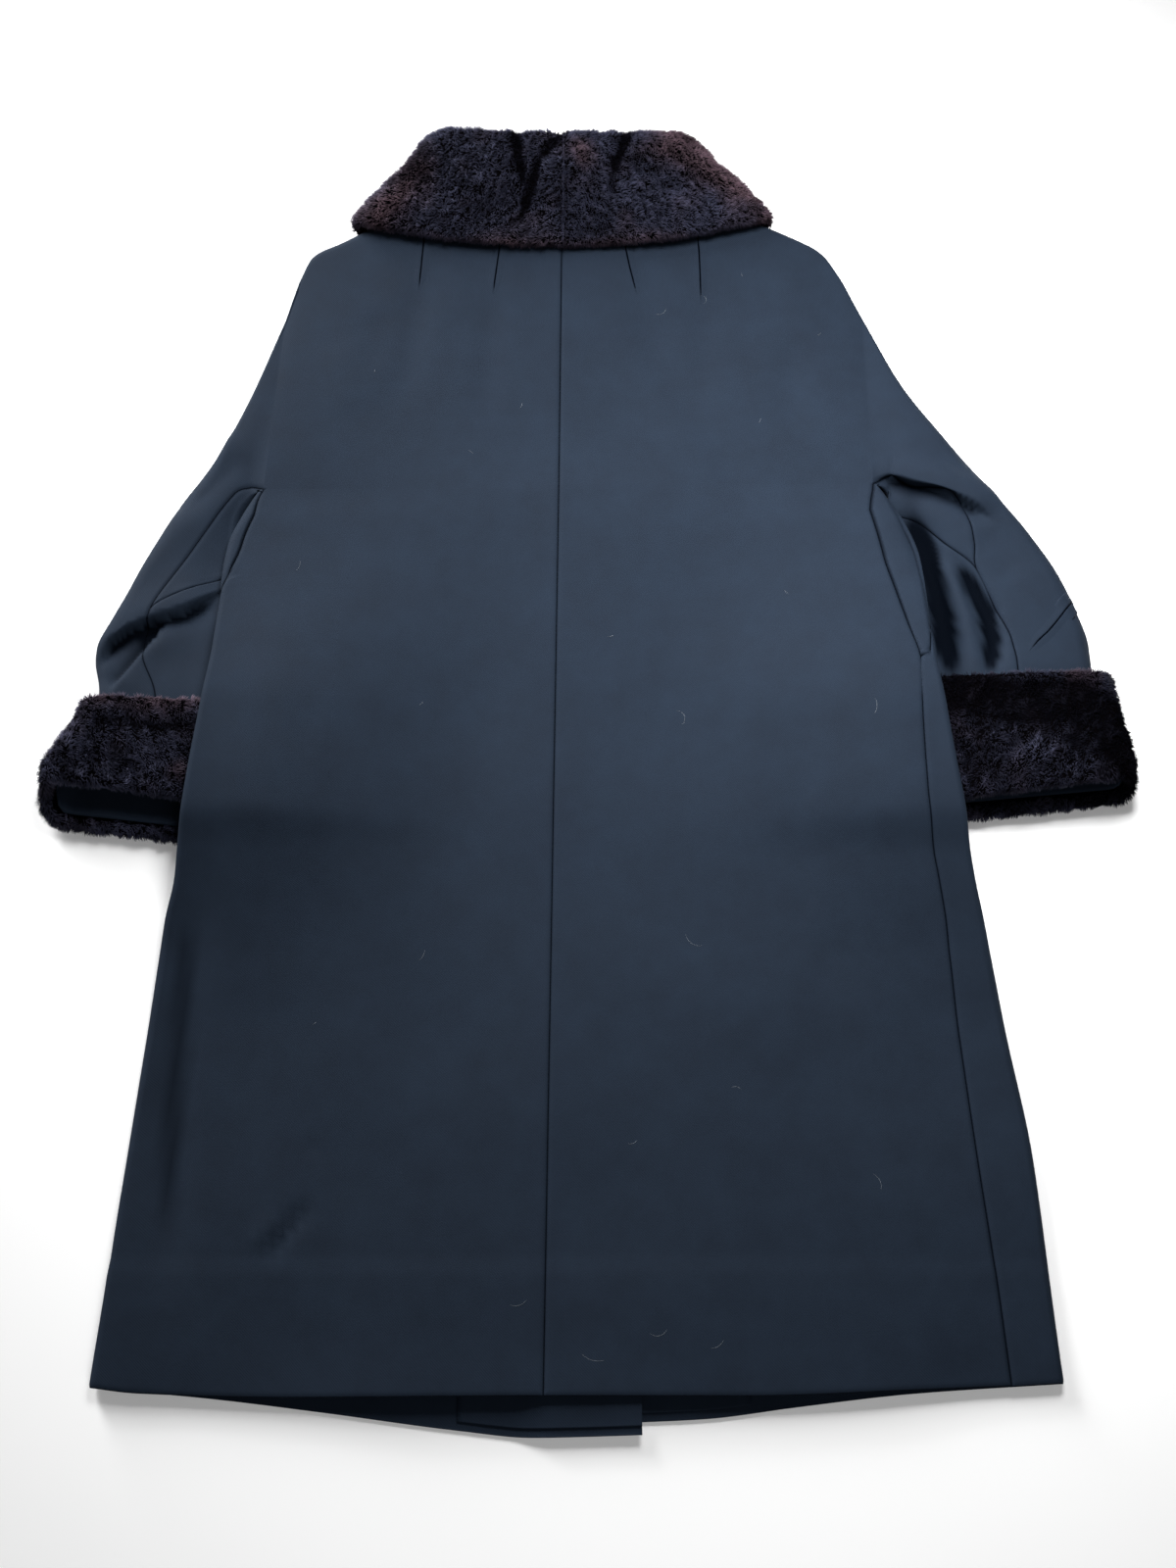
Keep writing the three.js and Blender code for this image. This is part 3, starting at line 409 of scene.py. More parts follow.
def levels(side):
    """Levels of the body from hem to armpit, closer together at the hem."""
    low = side["body"]["y"][0]
    rest = mix(low + HEM_ROWS, side["armpit"], LEVELS)
    return np.concatenate([low + EDGE_STEPS, rest])[:, None]


BACK_SHARES = np.concatenate(
    [EDGE_STEPS / SEAM_ROWS, np.linspace(0.032, STEADY_SHARE, 40), np.linspace(0.715, 0.985, 22),
     [0.99, 0.994, 0.997, 1]]
)[None]  # fmt: skip
BACK_STEPS = np.concatenate(
    [np.linspace(0, 1, 9), np.linspace(1, 1.96, 38)[1:], [1.98, 1.991, 1.996, 2]]
)[None]  # fmt: skip


def sleeve_rings(side, count, last=None):
    """Ring numbers down a sleeve to its mouth or to the last one named, and their rows."""
    last = len(side["sleeve"]["ox"]) - 1 if last is None else last
    rings = np.linspace(0, last, count)[:, None]
    return rings, read(side["sleeve"], rings)


def fitted(sleeve, edge, rings):
    """A sleeve's grid, moved within its first ring so that it starts on the edge it is sewn to."""
    return sleeve + (edge - sleeve[0]) * (1 - ramp(rings))[..., None]


def back_grids(side):
    """The back as three grids that share their edges: body, yoke and sleeve."""
    level = levels(side)
    low = level[0, 0]
    place = body_point(side, back_station(side, BACK_SHARES, level), level)
    y = with_hem(level, low, smooth(BACK_HEM["x"], BACK_HEM["y"], place[..., 0]))
    body = body_point(side, back_station(side, BACK_SHARES, y), y)
    at = back_station(side, BACK_SHARES, side["armpit"]).T
    yoke = yoke_point(side, at, BACK_STEPS)
    rings, row = sleeve_rings(side, 110)
    station = np.where(BACK_STEPS <= 1, BACK_STEPS, mix(1, row["back"], BACK_STEPS - 1))
    return [body, yoke, fitted(ring_point(row, station), yoke[-1], rings)]


# Where the cloth dips or rises: each fold is a line of places on the plan with a half width and
# a height, seen from above
BACK_FOLDS = (
    # neck darts' ends and the soft hollows that run on from them
    (((-152, 492), (-156, 430), (-168, 330)), 15, -1.9),
    (((-84, 480), (-88, 400), (-92, 320)), 13, -1.4),
    (((42, 482), (62, 395), (120, 300), (150, 230)), 16, -2.1),
    (((102, 470), (104, 420), (100, 340)), 13, -1.4),
    (((-118, 505), (-122, 420)), 20, 1.1),
    (((68, 505), (76, 430)), 18, 1.0),
    # long soft folds down the body
    (((-302, -40), (-320, -140), (-324, -270), (-322, -360), (-320, -470)), 17, -4.5),
    (((-180, 100), (-178, -120), (-186, -350)), 36, 1.8),
    (((60, 60), (92, -120), (110, -340)), 40, 1.6),
    (((150, 20), (182, -150), (205, -350)), 34, -1.8),
    # below the shoulders
    (((-222, 420), (-205, 330)), 20, 1.2),
    (((-190, 450), (-186, 380)), 16, -1.3),
    (((188, 430), (178, 360), (186, 300)), 16, -1.6),
    # crease and small dent above the hem
    (((-248, -391), (-227, -363), (-207, -341)), 5, -3.6),
    (((-256, -381), (-235, -353)), 7, 1.8),
    (((-221, -298), (-203, -311)), 5, -0.9),
    # beside the body's folded edges
    (((-303, 246), (-316, 150), (-323, 50), (-332, -70), (-345, -190)), 9, 1.5),
    (((270, 246), (289, 130), (296, 50), (304, -60), (318, -150)), 9, 1.2),
    # left sleeve: the drag from the armpit, the swell along the gusset's seam
    (((-296, 306), (-332, 266), (-366, 236)), 15, -3.4),
    (((-312, 330), (-345, 285)), 13, 1.4),
    (((-334, 250), (-372, 200), (-398, 160)), 12, 1.2),
    # right sleeve: the swell along its top, the hollows beside the body and at the forearm
    (((268, 300), (308, 279), (351, 254), (386, 222), (406, 186)), 12, 2.4),
    (((272, 316), (306, 300), (340, 272)), 13, -1.3),
    (((266, 275), (281, 236), (292, 204), (298, 173), (302, 138), (304, 70), (304, 50)), 13, -9),
    (((300, 215), (313, 175), (319, 146), (322, 90)), 6, 3.5),
    (((310, 212), (326, 178), (338, 148), (341, 123), (337, 95), (336, 66)), 8.5, -9),
    (((330, 226), (352, 206), (368, 170)), 13, -1.6),
)
# Overhanging folds: line with the swell on its left, height, its width, drop, depth, its width
BACK_LIPS = (
    # left elbow: the upper sleeve hangs over the forearm, and a second fold lies below it
    (((-414, 93), (-403, 119), (-389, 131), (-374, 137), (-360, 142), (-343, 148), (-330, 157),
      (-310, 172)), 4.2, 24, 4.5, -7.0, 15),
    (((-354, 144), (-362, 121), (-372, 106), (-390, 78), (-396, 66)), 2.4, 15, 6, -5.5, 14),
    # right underarm: the back's swell over the gusset
    (((246, 276), (262, 280), (272, 277), (284, 272), (302, 266), (321, 257), (338, 247),
      (354, 235)), 4.6, 20, 4, -6.0, 15),
)  # fmt: skip
HEM_RIDGE_Y, HEM_RIDGE, HEM_RIDGE_WIDTH = -392.0, 1.0, 9.0
CALM_LEVELS, CALM_FADE, CALM_CENTRE, CALM_REACH = (-150, 40), 60, -20, 200
FOLD_FADE, LIP_FADE = (0.3, 0.35), 0.22  # shares of a line over which it begins and ends
LEAST_HEIGHT = 5.0  # of a top layer, so that it stays above the one it lies on
WAVES = table(
    "across along turn height",
    (0.021, 0.008, 0.4, 0.55),
    (-0.012, 0.027, 1.9, 0.45),
    (0.034, -0.019, 4.0, 0.3),
    (0.009, 0.048, 2.7, 0.25),
    (0.052, 0.031, 5.2, 0.18),
)


def along_line(place, line):
    """Distance of each place from a line of plan points, positive on its left, and how far along
    it the nearest point lies, from 0 to 1."""
    line = np.array(line, float)
    step = np.diff(line, axis=0)
    size = np.hypot(step[:, 0], step[:, 1])
    done = np.concatenate([[0], np.cumsum(size)])
    best = np.full(len(place), np.inf)
    share, side = np.zeros(len(place)), np.ones(len(place))
    for start, way, length, before in zip(line, step, size, done):
        t = np.clip((place[:, :2] - start) @ way / length**2, 0, 1)
        off = place[:, :2] - start - t[:, None] * way
        gap = np.hypot(*off.T)
        nearer = gap < best
        share = np.where(nearer, (before + t * length) / done[-1], share)
        left = np.where(way[0] * off[:, 1] - way[1] * off[:, 0] < 0, -1, 1)
        side = np.where(nearer, left, side)
        best = np.where(nearer, gap, best)
    return best * side, share


def folds(place, lines):
    """Sum of soft folds: height times exp(-(distance/half width)^2), fading out at both ends."""
    lift = np.zeros(len(place))
    for line, width, height in lines:
        gap, share = along_line(place, line)
        fade = ramp(share / FOLD_FADE[0]) * ramp((1 - share) / FOLD_FADE[1])
        lift += height * fade * np.exp(-((gap / width) ** 2))
    return lift


def lips(place, lines):
    """Folds that overhang: on the line's left the cloth swells to a height over a soft width, on
    its right it drops steeply to a depth and recovers over another width."""
    lift = np.zeros(len(place))
    for line, height, soft, drop, depth, recover in lines:
        gap, share = along_line(place, line)
        fade = ramp(share / LIP_FADE) * ramp((1 - share) / LIP_FADE)
        swell = height * np.exp(-((gap / soft) ** 2))
        hollow = depth * np.exp(-((gap / recover) ** 2))
        fall = mix(height, hollow, ramp(-gap / drop))
        lift += fade * np.where(gap > 0, swell, np.where(gap > -drop, fall, hollow))
    return lift


def unevenness(place):
    """Slow swells of the cloth: a sum of a few long sine waves over the plan."""
    lift = np.zeros(len(place))
    for i in range(len(WAVES["height"])):
        phase = place[:, 0] * WAVES["across"][i] + place[:, 1] * WAVES["along"][i]
        lift += WAVES["height"][i] * np.sin(phase + WAVES["turn"][i])
    return lift


def upward(normal, sign):
    """1 where the cloth faces up (sign 1) or down (-1), fading to 0 on its steep sides."""
    return ramp(sign * normal[:, 2] * 2 - 0.4)


def back_relief(place, normal):
    """Height added to the top of the coat: folds, swells (but not beside the cuffs, where the
    layers lie close) and the hem allowance's ridge."""
    x, y, z = place.T
    ridge = HEM_RIDGE * ramp((HEM_RIDGE_Y - y) / HEM_RIDGE_WIDTH + 0.5)
    low, high = CALM_LEVELS
    free = ramp((y - high) / CALM_FADE) + ramp((low - y) / CALM_FADE)
    free = np.where(np.abs(x - CALM_CENTRE) > CALM_REACH, np.clip(free, 0, 1), 1)
    relief = folds(place, BACK_FOLDS) + lips(place, BACK_LIPS) + ridge + unevenness(place) * free
    return np.maximum(upward(normal, 1) * relief, np.minimum(LEAST_HEIGHT - z, 0))


def side_gaps(grid):
    """Distance of each point of a grid from its first row (a), last row (b), first column (c) and
    last column (d), measured along the grid's lines."""
    rows = np.linalg.norm(np.diff(grid, axis=0), axis=2)
    rows = np.concatenate([np.zeros((1, grid.shape[1])), np.cumsum(rows, axis=0)])
    columns = np.linalg.norm(np.diff(grid, axis=1), axis=2)
    columns = np.concatenate([np.zeros((grid.shape[0], 1)), np.cumsum(columns, axis=1)], axis=1)
    return {"a": rows, "b": rows[-1:] - rows, "c": columns, "d": columns[:, -1:] - columns}


def rim_dip(grid, sides, depth):
    """How far the cloth turns down beside a seam: depth times exp(-(distance/half width)^2) from
    the nearest of the sides named."""
    gaps = side_gaps(grid)
    near = np.min([gaps[name] for name in sides], axis=0)
    return depth * np.exp(-((near / DIP_WIDTH) ** 2))


def turned(corners, triangles):
    """Unit normals at the corners: the sum of the triangles' cross products round each."""
    a, b, c = (corners[triangles[:, k]] for k in range(3))
    cross = np.cross(b - a, c - a)
    total = np.stack(
        [sum(np.bincount(triangles[:, k], cross[:, m], len(corners)) for k in range(3))
         for m in range(3)], -1
    )  # fmt: skip
    return total / np.maximum(np.linalg.norm(total, axis=1, keepdims=True), 1e-12)


def halved(ids):
    """Two triangles for each cell of a grid of corner numbers."""
    a, b, c, d = ids[:-1, :-1], ids[1:, :-1], ids[1:, 1:], ids[:-1, 1:]
    return [np.stack(face, -1).reshape(-1, 3) for face in ((a, b, c), (a, c, d))]


WELD = 50  # cells in a millimetre: corners in the same cell are one


def joined(grids, sign, extra):
    """Grids that share edges as one surface: its corners, its triangles, and for each corner
    the largest value of the extra grids there. sign 1 keeps the grids' own normals."""
    flat = np.concatenate([grid.reshape(-1, 3) for grid in grids])
    _, first, same = np.unique(
        np.round(flat * WELD).astype(np.int64), axis=0, return_index=True, return_inverse=True
    )
    same = same.ravel()
    triangles, start = [], 0
    for grid in grids:
        ids = same[start : start + grid[..., 0].size].reshape(grid.shape[:2])
        start += ids.size
        triangles += halved(ids)
    triangles = np.concatenate(triangles)
    whole = (np.diff(triangles[:, [0, 1, 2, 0]], axis=1) != 0).all(axis=1)
    triangles = triangles[whole][:, ::sign]
    value = np.zeros(len(first))
    np.maximum.at(value, same, np.concatenate([e.ravel() for e in extra]))
    return flat[first], triangles, value


def closed_wall(outer, inner, triangles):
    """Closed shell between two like surfaces: the outer faces, the inner ones turned round, and
    a strip along each free edge."""
    count = len(outer)
    edges = np.concatenate([triangles[:, [0, 1]], triangles[:, [1, 2]], triangles[:, [2, 0]]])
    code, back = edges[:, 0] * count + edges[:, 1], edges[:, 1] * count + edges[:, 0]
    a, b = edges[~np.isin(code, back)].T
    strip = [np.stack(face, -1) for face in ((b, a, a + count), (b, a + count, b + count))]
    faces = np.concatenate([triangles, triangles[:, ::-1] + count, *strip])
    return np.concatenate([outer, inner]), faces


def make(name, corners, triangles, material, slot, attributes):
    """A piece from corners in millimetres on the plan and its triangles, in metres in place, with
    named values at its corners."""
    mesh = bpy.data.meshes.new(name)
    place = ((corners - (PLAN_X, PLAN_Y, 0)) / 1000).astype(np.float32)
    mesh.vertices.add(len(place))
    mesh.vertices.foreach_set("co", place.ravel())
    mesh.loops.add(triangles.size)
    mesh.loops.foreach_set("vertex_index", triangles.ravel().astype(np.int32))
    mesh.polygons.add(len(triangles))
    mesh.polygons.foreach_set("loop_start", np.arange(len(triangles), dtype=np.int32) * 3)
    mesh.update(calc_edges=True)
    mesh.polygons.foreach_set("use_smooth", np.ones(len(triangles), bool))
    for key, values in attributes.items():
        mesh.attributes.new(key, "FLOAT", "POINT").data.foreach_set(
            "value", values.astype(np.float32)
        )
    mesh.materials.append(material)
    piece = placed(name, mesh)
    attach(piece, "root")
    return piece


# Seams: how far the cloth dips and over what width, how sharply they are painted dark (painted
# shade), and how much thinner the cloth is there. Deep hollows: the strength of their painted
# shade, the depth where it begins and the depth over which it grows.
DIP, DIP_WIDTH, SEAM_SHARPNESS, SEAM_THINNER = 0.8, 1.7, 7, 0.5
HOLLOW_SHADE, HOLLOW_FROM, HOLLOW_DEPTH = 0.95, -2.6, 3.4


def cloth_piece(name, grids, sign, material, relief, sides, thickness=CLOTH, sunk=0.0, dip=DIP):
    """A cloth panel: its grids joined, lifted by its relief, turned down at its seams, and given
    its thickness inwards. Its crease shade value is painted shade: 1 at the seams and high in the
    deep hollows."""
    dips = [rim_dip(grid, which, dip) for grid, which in zip(grids, sides)]
    face, triangles, seam = joined(grids, sign, dips)
    normal = turned(face, triangles)
    lift = relief(face, normal)
    # Painted shade: the deeper a hollow of the relief, the darker the cloth is painted there
    hollow = HOLLOW_FROM - lift + unevenness(face)
    hollow = HOLLOW_SHADE * ramp(hollow / HOLLOW_DEPTH)
    shade = np.maximum((seam / DIP) ** SEAM_SHARPNESS, hollow)
    face = face + normal * lift[:, None]
    normal = turned(face, triangles)
    face = face - normal * (sunk + seam)[:, None]
    face[:, 2] = np.maximum(face[:, 2], 0)
    inner = face - normal * (thickness - np.minimum(seam, SEAM_THINNER))[:, None]
    inner[:, 2] = np.maximum(inner[:, 2], 0)
    crease = {"crease": np.concatenate([shade, 0 * shade])}
    return make(name, *closed_wall(face, inner, triangles), material, "wool", crease)


def new_node(tree, kind, inputs, **settings):
    """A shader node of a kind with its settings, its inputs fed. Gives its outputs."""
    node = tree.nodes.new(f"ShaderNode{kind}")
    for key, value in settings.items():
        setattr(node, key, value)
    feed(tree, node, inputs)
    return node.outputs


def maths(tree, operation, *values, **settings):
    """The result of a Math node on values and sockets."""
    return new_node(tree, "Math", dict(enumerate(values)), operation=operation, **settings)[0]


def ramped(tree, share, *stops):
    """Colour of a ramp between two stops, each a position and a colour."""
    colour = new_node(tree, "ValToRGB", {"Fac": share})["Color"]
    for element, (position, shade) in zip(colour.node.color_ramp.elements, stops):
        element.position, element.color = position, (*shade, 1)
    return colour


def cloth_weave():
    """Node group: twilled wool. Diagonal ribs from a wave along x+y, their yarns broken up by
    fine noise, a soft nap, and slow patches of shade. Gives a height and two masks."""
    group = bpy.data.node_groups.new("wool_twill", "ShaderNodeTree")
    new_socket = group.interface.new_socket
    new_socket(name="Rib", in_out="INPUT", socket_type="NodeSocketFloat").default_value = RIB
    for name in ("Height", "Patches", "Nap"):
        new_socket(name=name, in_out="OUTPUT", socket_type="NodeSocketFloat")
    start, end = group.nodes.new("NodeGroupInput"), group.nodes.new("NodeGroupOutput")
    where = new_node(group, "TexCoord", {})["Object"]
    scale = maths(group, "DIVIDE", WAVE_SCALE, start.outputs["Rib"])
    ribs = new_node(
        group, "TexWave",
        {"Vector": where, "Scale": scale, "Distortion": 1.2, "Detail Scale": 3},
        wave_type="BANDS", bands_direction="DIAGONAL",
    )["Fac"]  # fmt: skip
    nap = new_node(group, "TexNoise", {"Vector": where, "Scale": 900, "Detail": 3})["Fac"]
    patches = new_node(
        group, "TexNoise", {"Vector": where, "Scale": 26, "Detail": 5, "Roughness": 0.65}
    )["Fac"]
    height = maths(group, "MULTIPLY_ADD", ribs, RIB_SHARE, nap)
    feed(group, end, {"Height": height, "Patches": patches, "Nap": nap})
    return group


def wool_material(name, dark, light, roughness=0.78):
    """Navy wool: its colour moves between two blues with slow patches and the nap, over a bump of
    ribs and nap, with a cool sheen. Seams and deep hollows are painted near black by the crease
    shade value, with less specular there: painted shade."""
    material, tree, shade = material_of(name)
    weave = new_node(tree, "Group", {}, node_tree=cloth_weave())
    crease = new_node(tree, "Attribute", {}, attribute_name="crease")["Fac"]
    both = maths(tree, "MULTIPLY_ADD", weave["Nap"], 0.35, weave["Patches"])
    tint = ramped(tree, both, (0.42, dark), (0.92, light))
    # Painted shade: the crease shade value mixes the cloth towards a near-black blue
    sunk = {"Factor": crease, "A": tint, "B": (*PAINTED_SHADE_COLOUR, 1)}
    rough = {"Value": weave["Patches"], "To Min": roughness - 0.06, "To Max": roughness + 0.08}
    bump = {"Height": weave["Height"], "Strength": 0.35, "Distance": 0.00025}
    feed(tree, shade, {
        "Base Color": new_node(tree, "Mix", sunk, data_type="RGBA")["Result"],
        "Roughness": new_node(tree, "MapRange", rough)["Result"],
        "Normal": new_node(tree, "Bump", bump)["Normal"],
        "Specular IOR Level": maths(tree, "MULTIPLY_ADD", crease, -0.08, 0.09),
        "Specular Tint": (0.9, 0.93, 1.0, 1), "Sheen Weight": 0.015, "Sheen Roughness": 0.4,
        "Sheen Tint": (0.7, 0.82, 1.0, 1),
    })  # fmt: skip
    return material


RIB, WAVE_SCALE, RIB_SHARE = 1.1, 330, 0.6
# Colour of the painted shade in the seams and deep hollows
PAINTED_SHADE_COLOUR = (0.0004, 0.0009, 0.0022)
navy_wool = wool_material("navy_wool", (0.0082, 0.0133, 0.0230), (0.0114, 0.0185, 0.0314))

backs = {}
for side in (LEFT, RIGHT):
    name = f"back_{side['name']}"
    backs[name] = cloth_piece(
        name, back_grids(side), -side["sign"], navy_wool, back_relief, ("acd", "ac", "bcd")
    )
    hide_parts(name)

# ---------------------------------------------------------------------------------------------
# Fronts
# Each front is cut in one with the underside of its sleeve. They lie on the surface; the left
# front climbs over the right one's edge, and the front of the collar lies beneath both. On the
# right the side seam lies on top, so a strip of the front shows beside the back.

NECKLINE_LEFT = table(
    "at x y", (-0.3, 44, 491), (0, -23, 497), (0.2, -66, 517), (0.3, -91, 542),
    (0.38, -101, 582),
)  # fmt: skip
NECKLINE_RIGHT = table(
    "at x y", (0, -23, 494), (0.2, 20, 516), (0.3, 44, 542), (0.38, 53, 582)
)
FRONT_HEM_LEFT = table(
    "x y", (-371, -480), (-286, -487), (-199, -497), (-96, -510), (-40, -515), (44, -513)
)
FRONT_HEM_RIGHT = table(
    "x y", (-20, -506), (84, -502), (159, -493), (241, -484), (353, -477)
)
COLLAR_LIFT, COLLAR_FROM, COLLAR_TO = 14.5, 366.0, 455.0
COLLAR_CENTRE, COLLAR_REACH, COLLAR_FADE = -24.0, 238.0, 50.0
OVERLAP_LIFT, OVERLAP_FROM, OVERLAP_TO = 6.0, -60.0, -25.0


def overlap_lift(x):
    """Height of the left front where it climbs over the right one."""
    return OVERLAP_LIFT * ramp((x - OVERLAP_FROM) / (OVERLAP_TO - OVERLAP_FROM))


def no_lift(x):
    return 0 * x


LEFT |= {
    "neckline": NECKLINE_LEFT, "front_hem": FRONT_HEM_LEFT, "lift": overlap_lift,
    "strip": np.concatenate([np.linspace(-97, 32, 27), 40 - EDGE_STEPS[4::-1]]),
}  # fmt: skip
RIGHT |= {
    "neckline": NECKLINE_RIGHT, "front_hem": FRONT_HEM_RIGHT, "lift": no_lift,
    "strip": np.concatenate([np.linspace(121, -8, 22), -16 + EDGE_STEPS[4::-1]]),
}  # fmt: skip
FRONT_SHARES = np.concatenate(
    [[0, 0.002, 0.005, 0.009, 0.015], np.linspace(0.027, 0.55, 30), np.linspace(0.58, 1, 13)]
)
FRONT_STEPS = np.concatenate(
    [[2, 1.996, 1.991, 1.98], np.linspace(1.965, 1.5, 26), np.linspace(1.46, 1, 12),
     np.linspace(1, 0, 8)[1:]]
)[None]  # fmt: skip


def collar_lift(x, y):
    """Height of the fronts over the collar that lies beneath them, fading out beside it."""
    near = (COLLAR_REACH - np.abs(x - COLLAR_CENTRE)) / COLLAR_FADE
    return COLLAR_LIFT * ramp(near) * ramp((y - COLLAR_FROM) / (COLLAR_TO - COLLAR_FROM))


def front_station(side, y):
    """Stations across a front at the levels y, one for each column: from the side seam to the
    facing's inner edge by shares, then at fixed places up to the front edge."""
    strip = side["strip"]
    share = np.concatenate([FRONT_SHARES, np.ones(len(strip) - 1)])[None]
    place = np.concatenate([np.full(len(FRONT_SHARES), strip[0]), strip[1:]])[None]
    centre, flat, *_ = body_parts(side, y)
    edge = 3 - (place - centre) / (side["sign"] * flat)
    begin = read(side["body"], y, "y")["front"]
    return mix(begin, edge, share)


def front_yoke_point(side, at, step):
    """The upper front shares the back's rim outside the neck and has its own neckline inside."""
    row = read(side["yoke"], np.maximum(at, 0), "at")
    neck = read(side["neckline"], at, "at")
    inside = at < NECK_SHARE
    start = (np.where(inside, neck["x"], row["x"]), np.where(inside, neck["y"], row["y"]))
    inner = body_point(side, 3 - at, side["armpit"])
    turn, _, _, x, y = rib(start, inner, step)
    under = collar_lift(x, y)
    rim = mix(under, row["rim"], ramp((at / NECK_SHARE - NECK_RIM_FROM) / (1 - NECK_RIM_FROM)))
    return points(x, y, np.where(step <= 1, mix(rim, under, np.cos(turn)), under))


def lifted(side, grid):
    """The grid, raised where this front laps over the other."""
    grid[..., 2] += side["lift"](grid[..., 0])
    return grid


def front_body(side, hem_up=0.0):
    """The front below the armpit, its hem raised by a little for the facing."""
    level = levels(side)
    low = level[0, 0]
    place = body_point(side, front_station(side, level), level)
    hem = smooth(side["front_hem"]["x"], side["front_hem"]["y"], place[..., 0]) + hem_up
    y = with_hem(level, low, hem)
    return lifted(side, body_point(side, front_station(side, y), y))


def front_yoke(side):
    """The front above the armpit, one rib for each column of the body."""
    at = 3 - front_station(side, np.array([[float(side["armpit"])]])).T
    return lifted(side, front_yoke_point(side, at, FRONT_STEPS))


def front_grids(side):
    """The front as three grids that share their edges: body, yoke and sleeve."""
    yoke = front_yoke(side)[::-1]
    rings, row = sleeve_rings(side, 120)
    sleeve = ring_point(row, mix(row["front"], 6, (2 - FRONT_STEPS) / 2))
    return [front_body(side), yoke, fitted(sleeve, yoke[-1], rings)]


# The same kinds of crease on the hidden side, pressed up from the surface, and how much of the
# swells shows there, from which height down
UNDER_SWELL, UNDER_FROM = 0.25, 1.2
FRONT_FOLDS = (
    (((-250, -300), (-200, -180), (-190, -90)), 14, -1.6),
    (((200, -330), (170, -210)), 12, -1.4),
    (((-290, 230), (-240, 190), (-180, 170)), 13, -1.8),
    (((255, 232), (205, 185), (150, 176)), 12, -1.7),
    (((-230, 400), (-180, 330)), 14, -1.5),
    (((210, 410), (160, 320)), 14, -1.5),
    (((-120, 330), (-130, 200)), 15, -1.2),
    (((90, 340), (96, 220)), 15, -1.2),
)


def front_relief(place, normal):
    """As on the back where the front shows from above; underneath, folds pressed upwards only."""
    hollow = folds(place, FRONT_FOLDS) + UNDER_SWELL * (unevenness(place) - UNDER_FROM)
    return back_relief(place, normal) + upward(normal, -1) * np.minimum(hollow, 0)


for side in (LEFT, RIGHT):
    name = f"front_{side['name']}"
    cloth_piece(
        name, front_grids(side), -side["sign"], navy_wool, front_relief, ("acd", "ad", "bcd")
    )
    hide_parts(name)

# ---------------------------------------------------------------------------------------------
# Gussets
# A diamond of the same wool is let into each underarm between back and front, so that the arm
# can lift. It lies folded, its two lower tips on the body's edge and on the sleeve.

GUSSET_REACH, CROTCH_REACH, GUSSET_RING = 0.985, 0.97, 5


def gusset_grids(side):
    """The gusset round the folded edge of the body, then round the sleeve's inner fold."""
    near = np.array([0, 0.012, 0.03, 0.06])
    share = np.concatenate([near, np.linspace(0.1, 0.9, 15), 1 - near[::-1]])[None]
    level = np.linspace(side["gusset_y"], side["armpit"], 34)[:, None]
    row = read(side["body"], level, "y")
    reach = mix(GUSSET_REACH, CROTCH_REACH, ramp(1 - (side["armpit"] - level) / 12))
    body = body_point(side, mix(row["back"], row["front"], share * reach), level)
    rings, row = sleeve_rings(side, 40, GUSSET_RING)
    reach = mix(CROTCH_REACH, GUSSET_REACH, ramp(rings * 2))
    sleeve = ring_point(row, mix(row["back"], row["front"], share * reach))
    return [body, fitted(sleeve, body[-1], rings)]


for side, flat, area in ((LEFT, (0.038, 0.276), 0.0061), (RIGHT, (0.046, 0.317), 0.0090)):
    name = f"gusset_{side['name']}"
    gusset = cloth_piece(
        name, gusset_grids(side), -side["sign"], navy_wool, back_relief, ("cd", "bcd")
    )
    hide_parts(name)

# ---------------------------------------------------------------------------------------------
# Facings
# A strip of the shell's wool backs each front edge. Its hem stops a little above the shell's,
# and its inner edge shows as a step where the left front lies on the right one.

FACING, LAYER, FACING_SHORTER = 1.6, 0.3, 6.5


def facing_grids(side):
    """The front's own points beside its edge, from a higher hem up to the neckline's roll."""
    first = len(FRONT_SHARES) - 1
    roll = int(np.argmax(FRONT_STEPS[0] <= 1)) + 1
    body = front_body(side, FACING_SHORTER)[:, first:]
    yoke = front_yoke(side)[first:, :roll][::-1]
    return [body, yoke]


for side, area in ((LEFT, 0.135), (RIGHT, 0.137)):
    name = f"facing_{side['name']}"
    facing = cloth_piece(
        name, facing_grids(side), -side["sign"], navy_wool, front_relief, ("acd", "acd"),
        thickness=FACING, sunk=CLOTH + LAYER, dip=0,
    )  # fmt: skip
    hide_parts(name)

# ---------------------------------------------------------------------------------------------
# Darts
# Two darts on each side of the neck and one at each elbow are stitched and their fold is pressed
# flat. The four neck darts and the right elbow's show as a fine groove between two soft
# shoulders that dies out at its tip.

# Profile across a dart: across, up, and how much painted shade its groove gets
DART_GROOVE = table(
    "across up crease", (-10, -0.6, 0), (-9, -0.3, 0), (-6.5, 0, 0), (-4, 0.26, 0),
    (-2, 0.5, 0), (-0.8, 0.55, 0.1), (-0.55, 0.4, 1), (-0.3, 0.05, 1), (0.3, 0.05, 1),
    (0.55, 0.4, 1), (0.8, 0.55, 0.1), (2, 0.5, 0), (4, 0.24, 0), (6.5, -0.02, 0), (9, -0.3, 0),
    (10, -0.6, 0),
)  # fmt: skip
DART_STEP, DART_TAPER = 1.6, 0.3
DARTS = (
    ("dart_neck_outer_left", ((-149, 524), (-150, 505), (-153, 462))),
    ("dart_neck_inner_left", ((-79, 518), (-81, 500), (-86, 456))),
    ("dart_neck_inner_right", ((32, 520), (35, 500), (45, 456))),
    ("dart_neck_outer_right", ((99, 530), (101, 500), (102, 446))),
    ("dart_elbow_right", ((412, 158), (389, 129), (377, 117), (367, 104))),
)


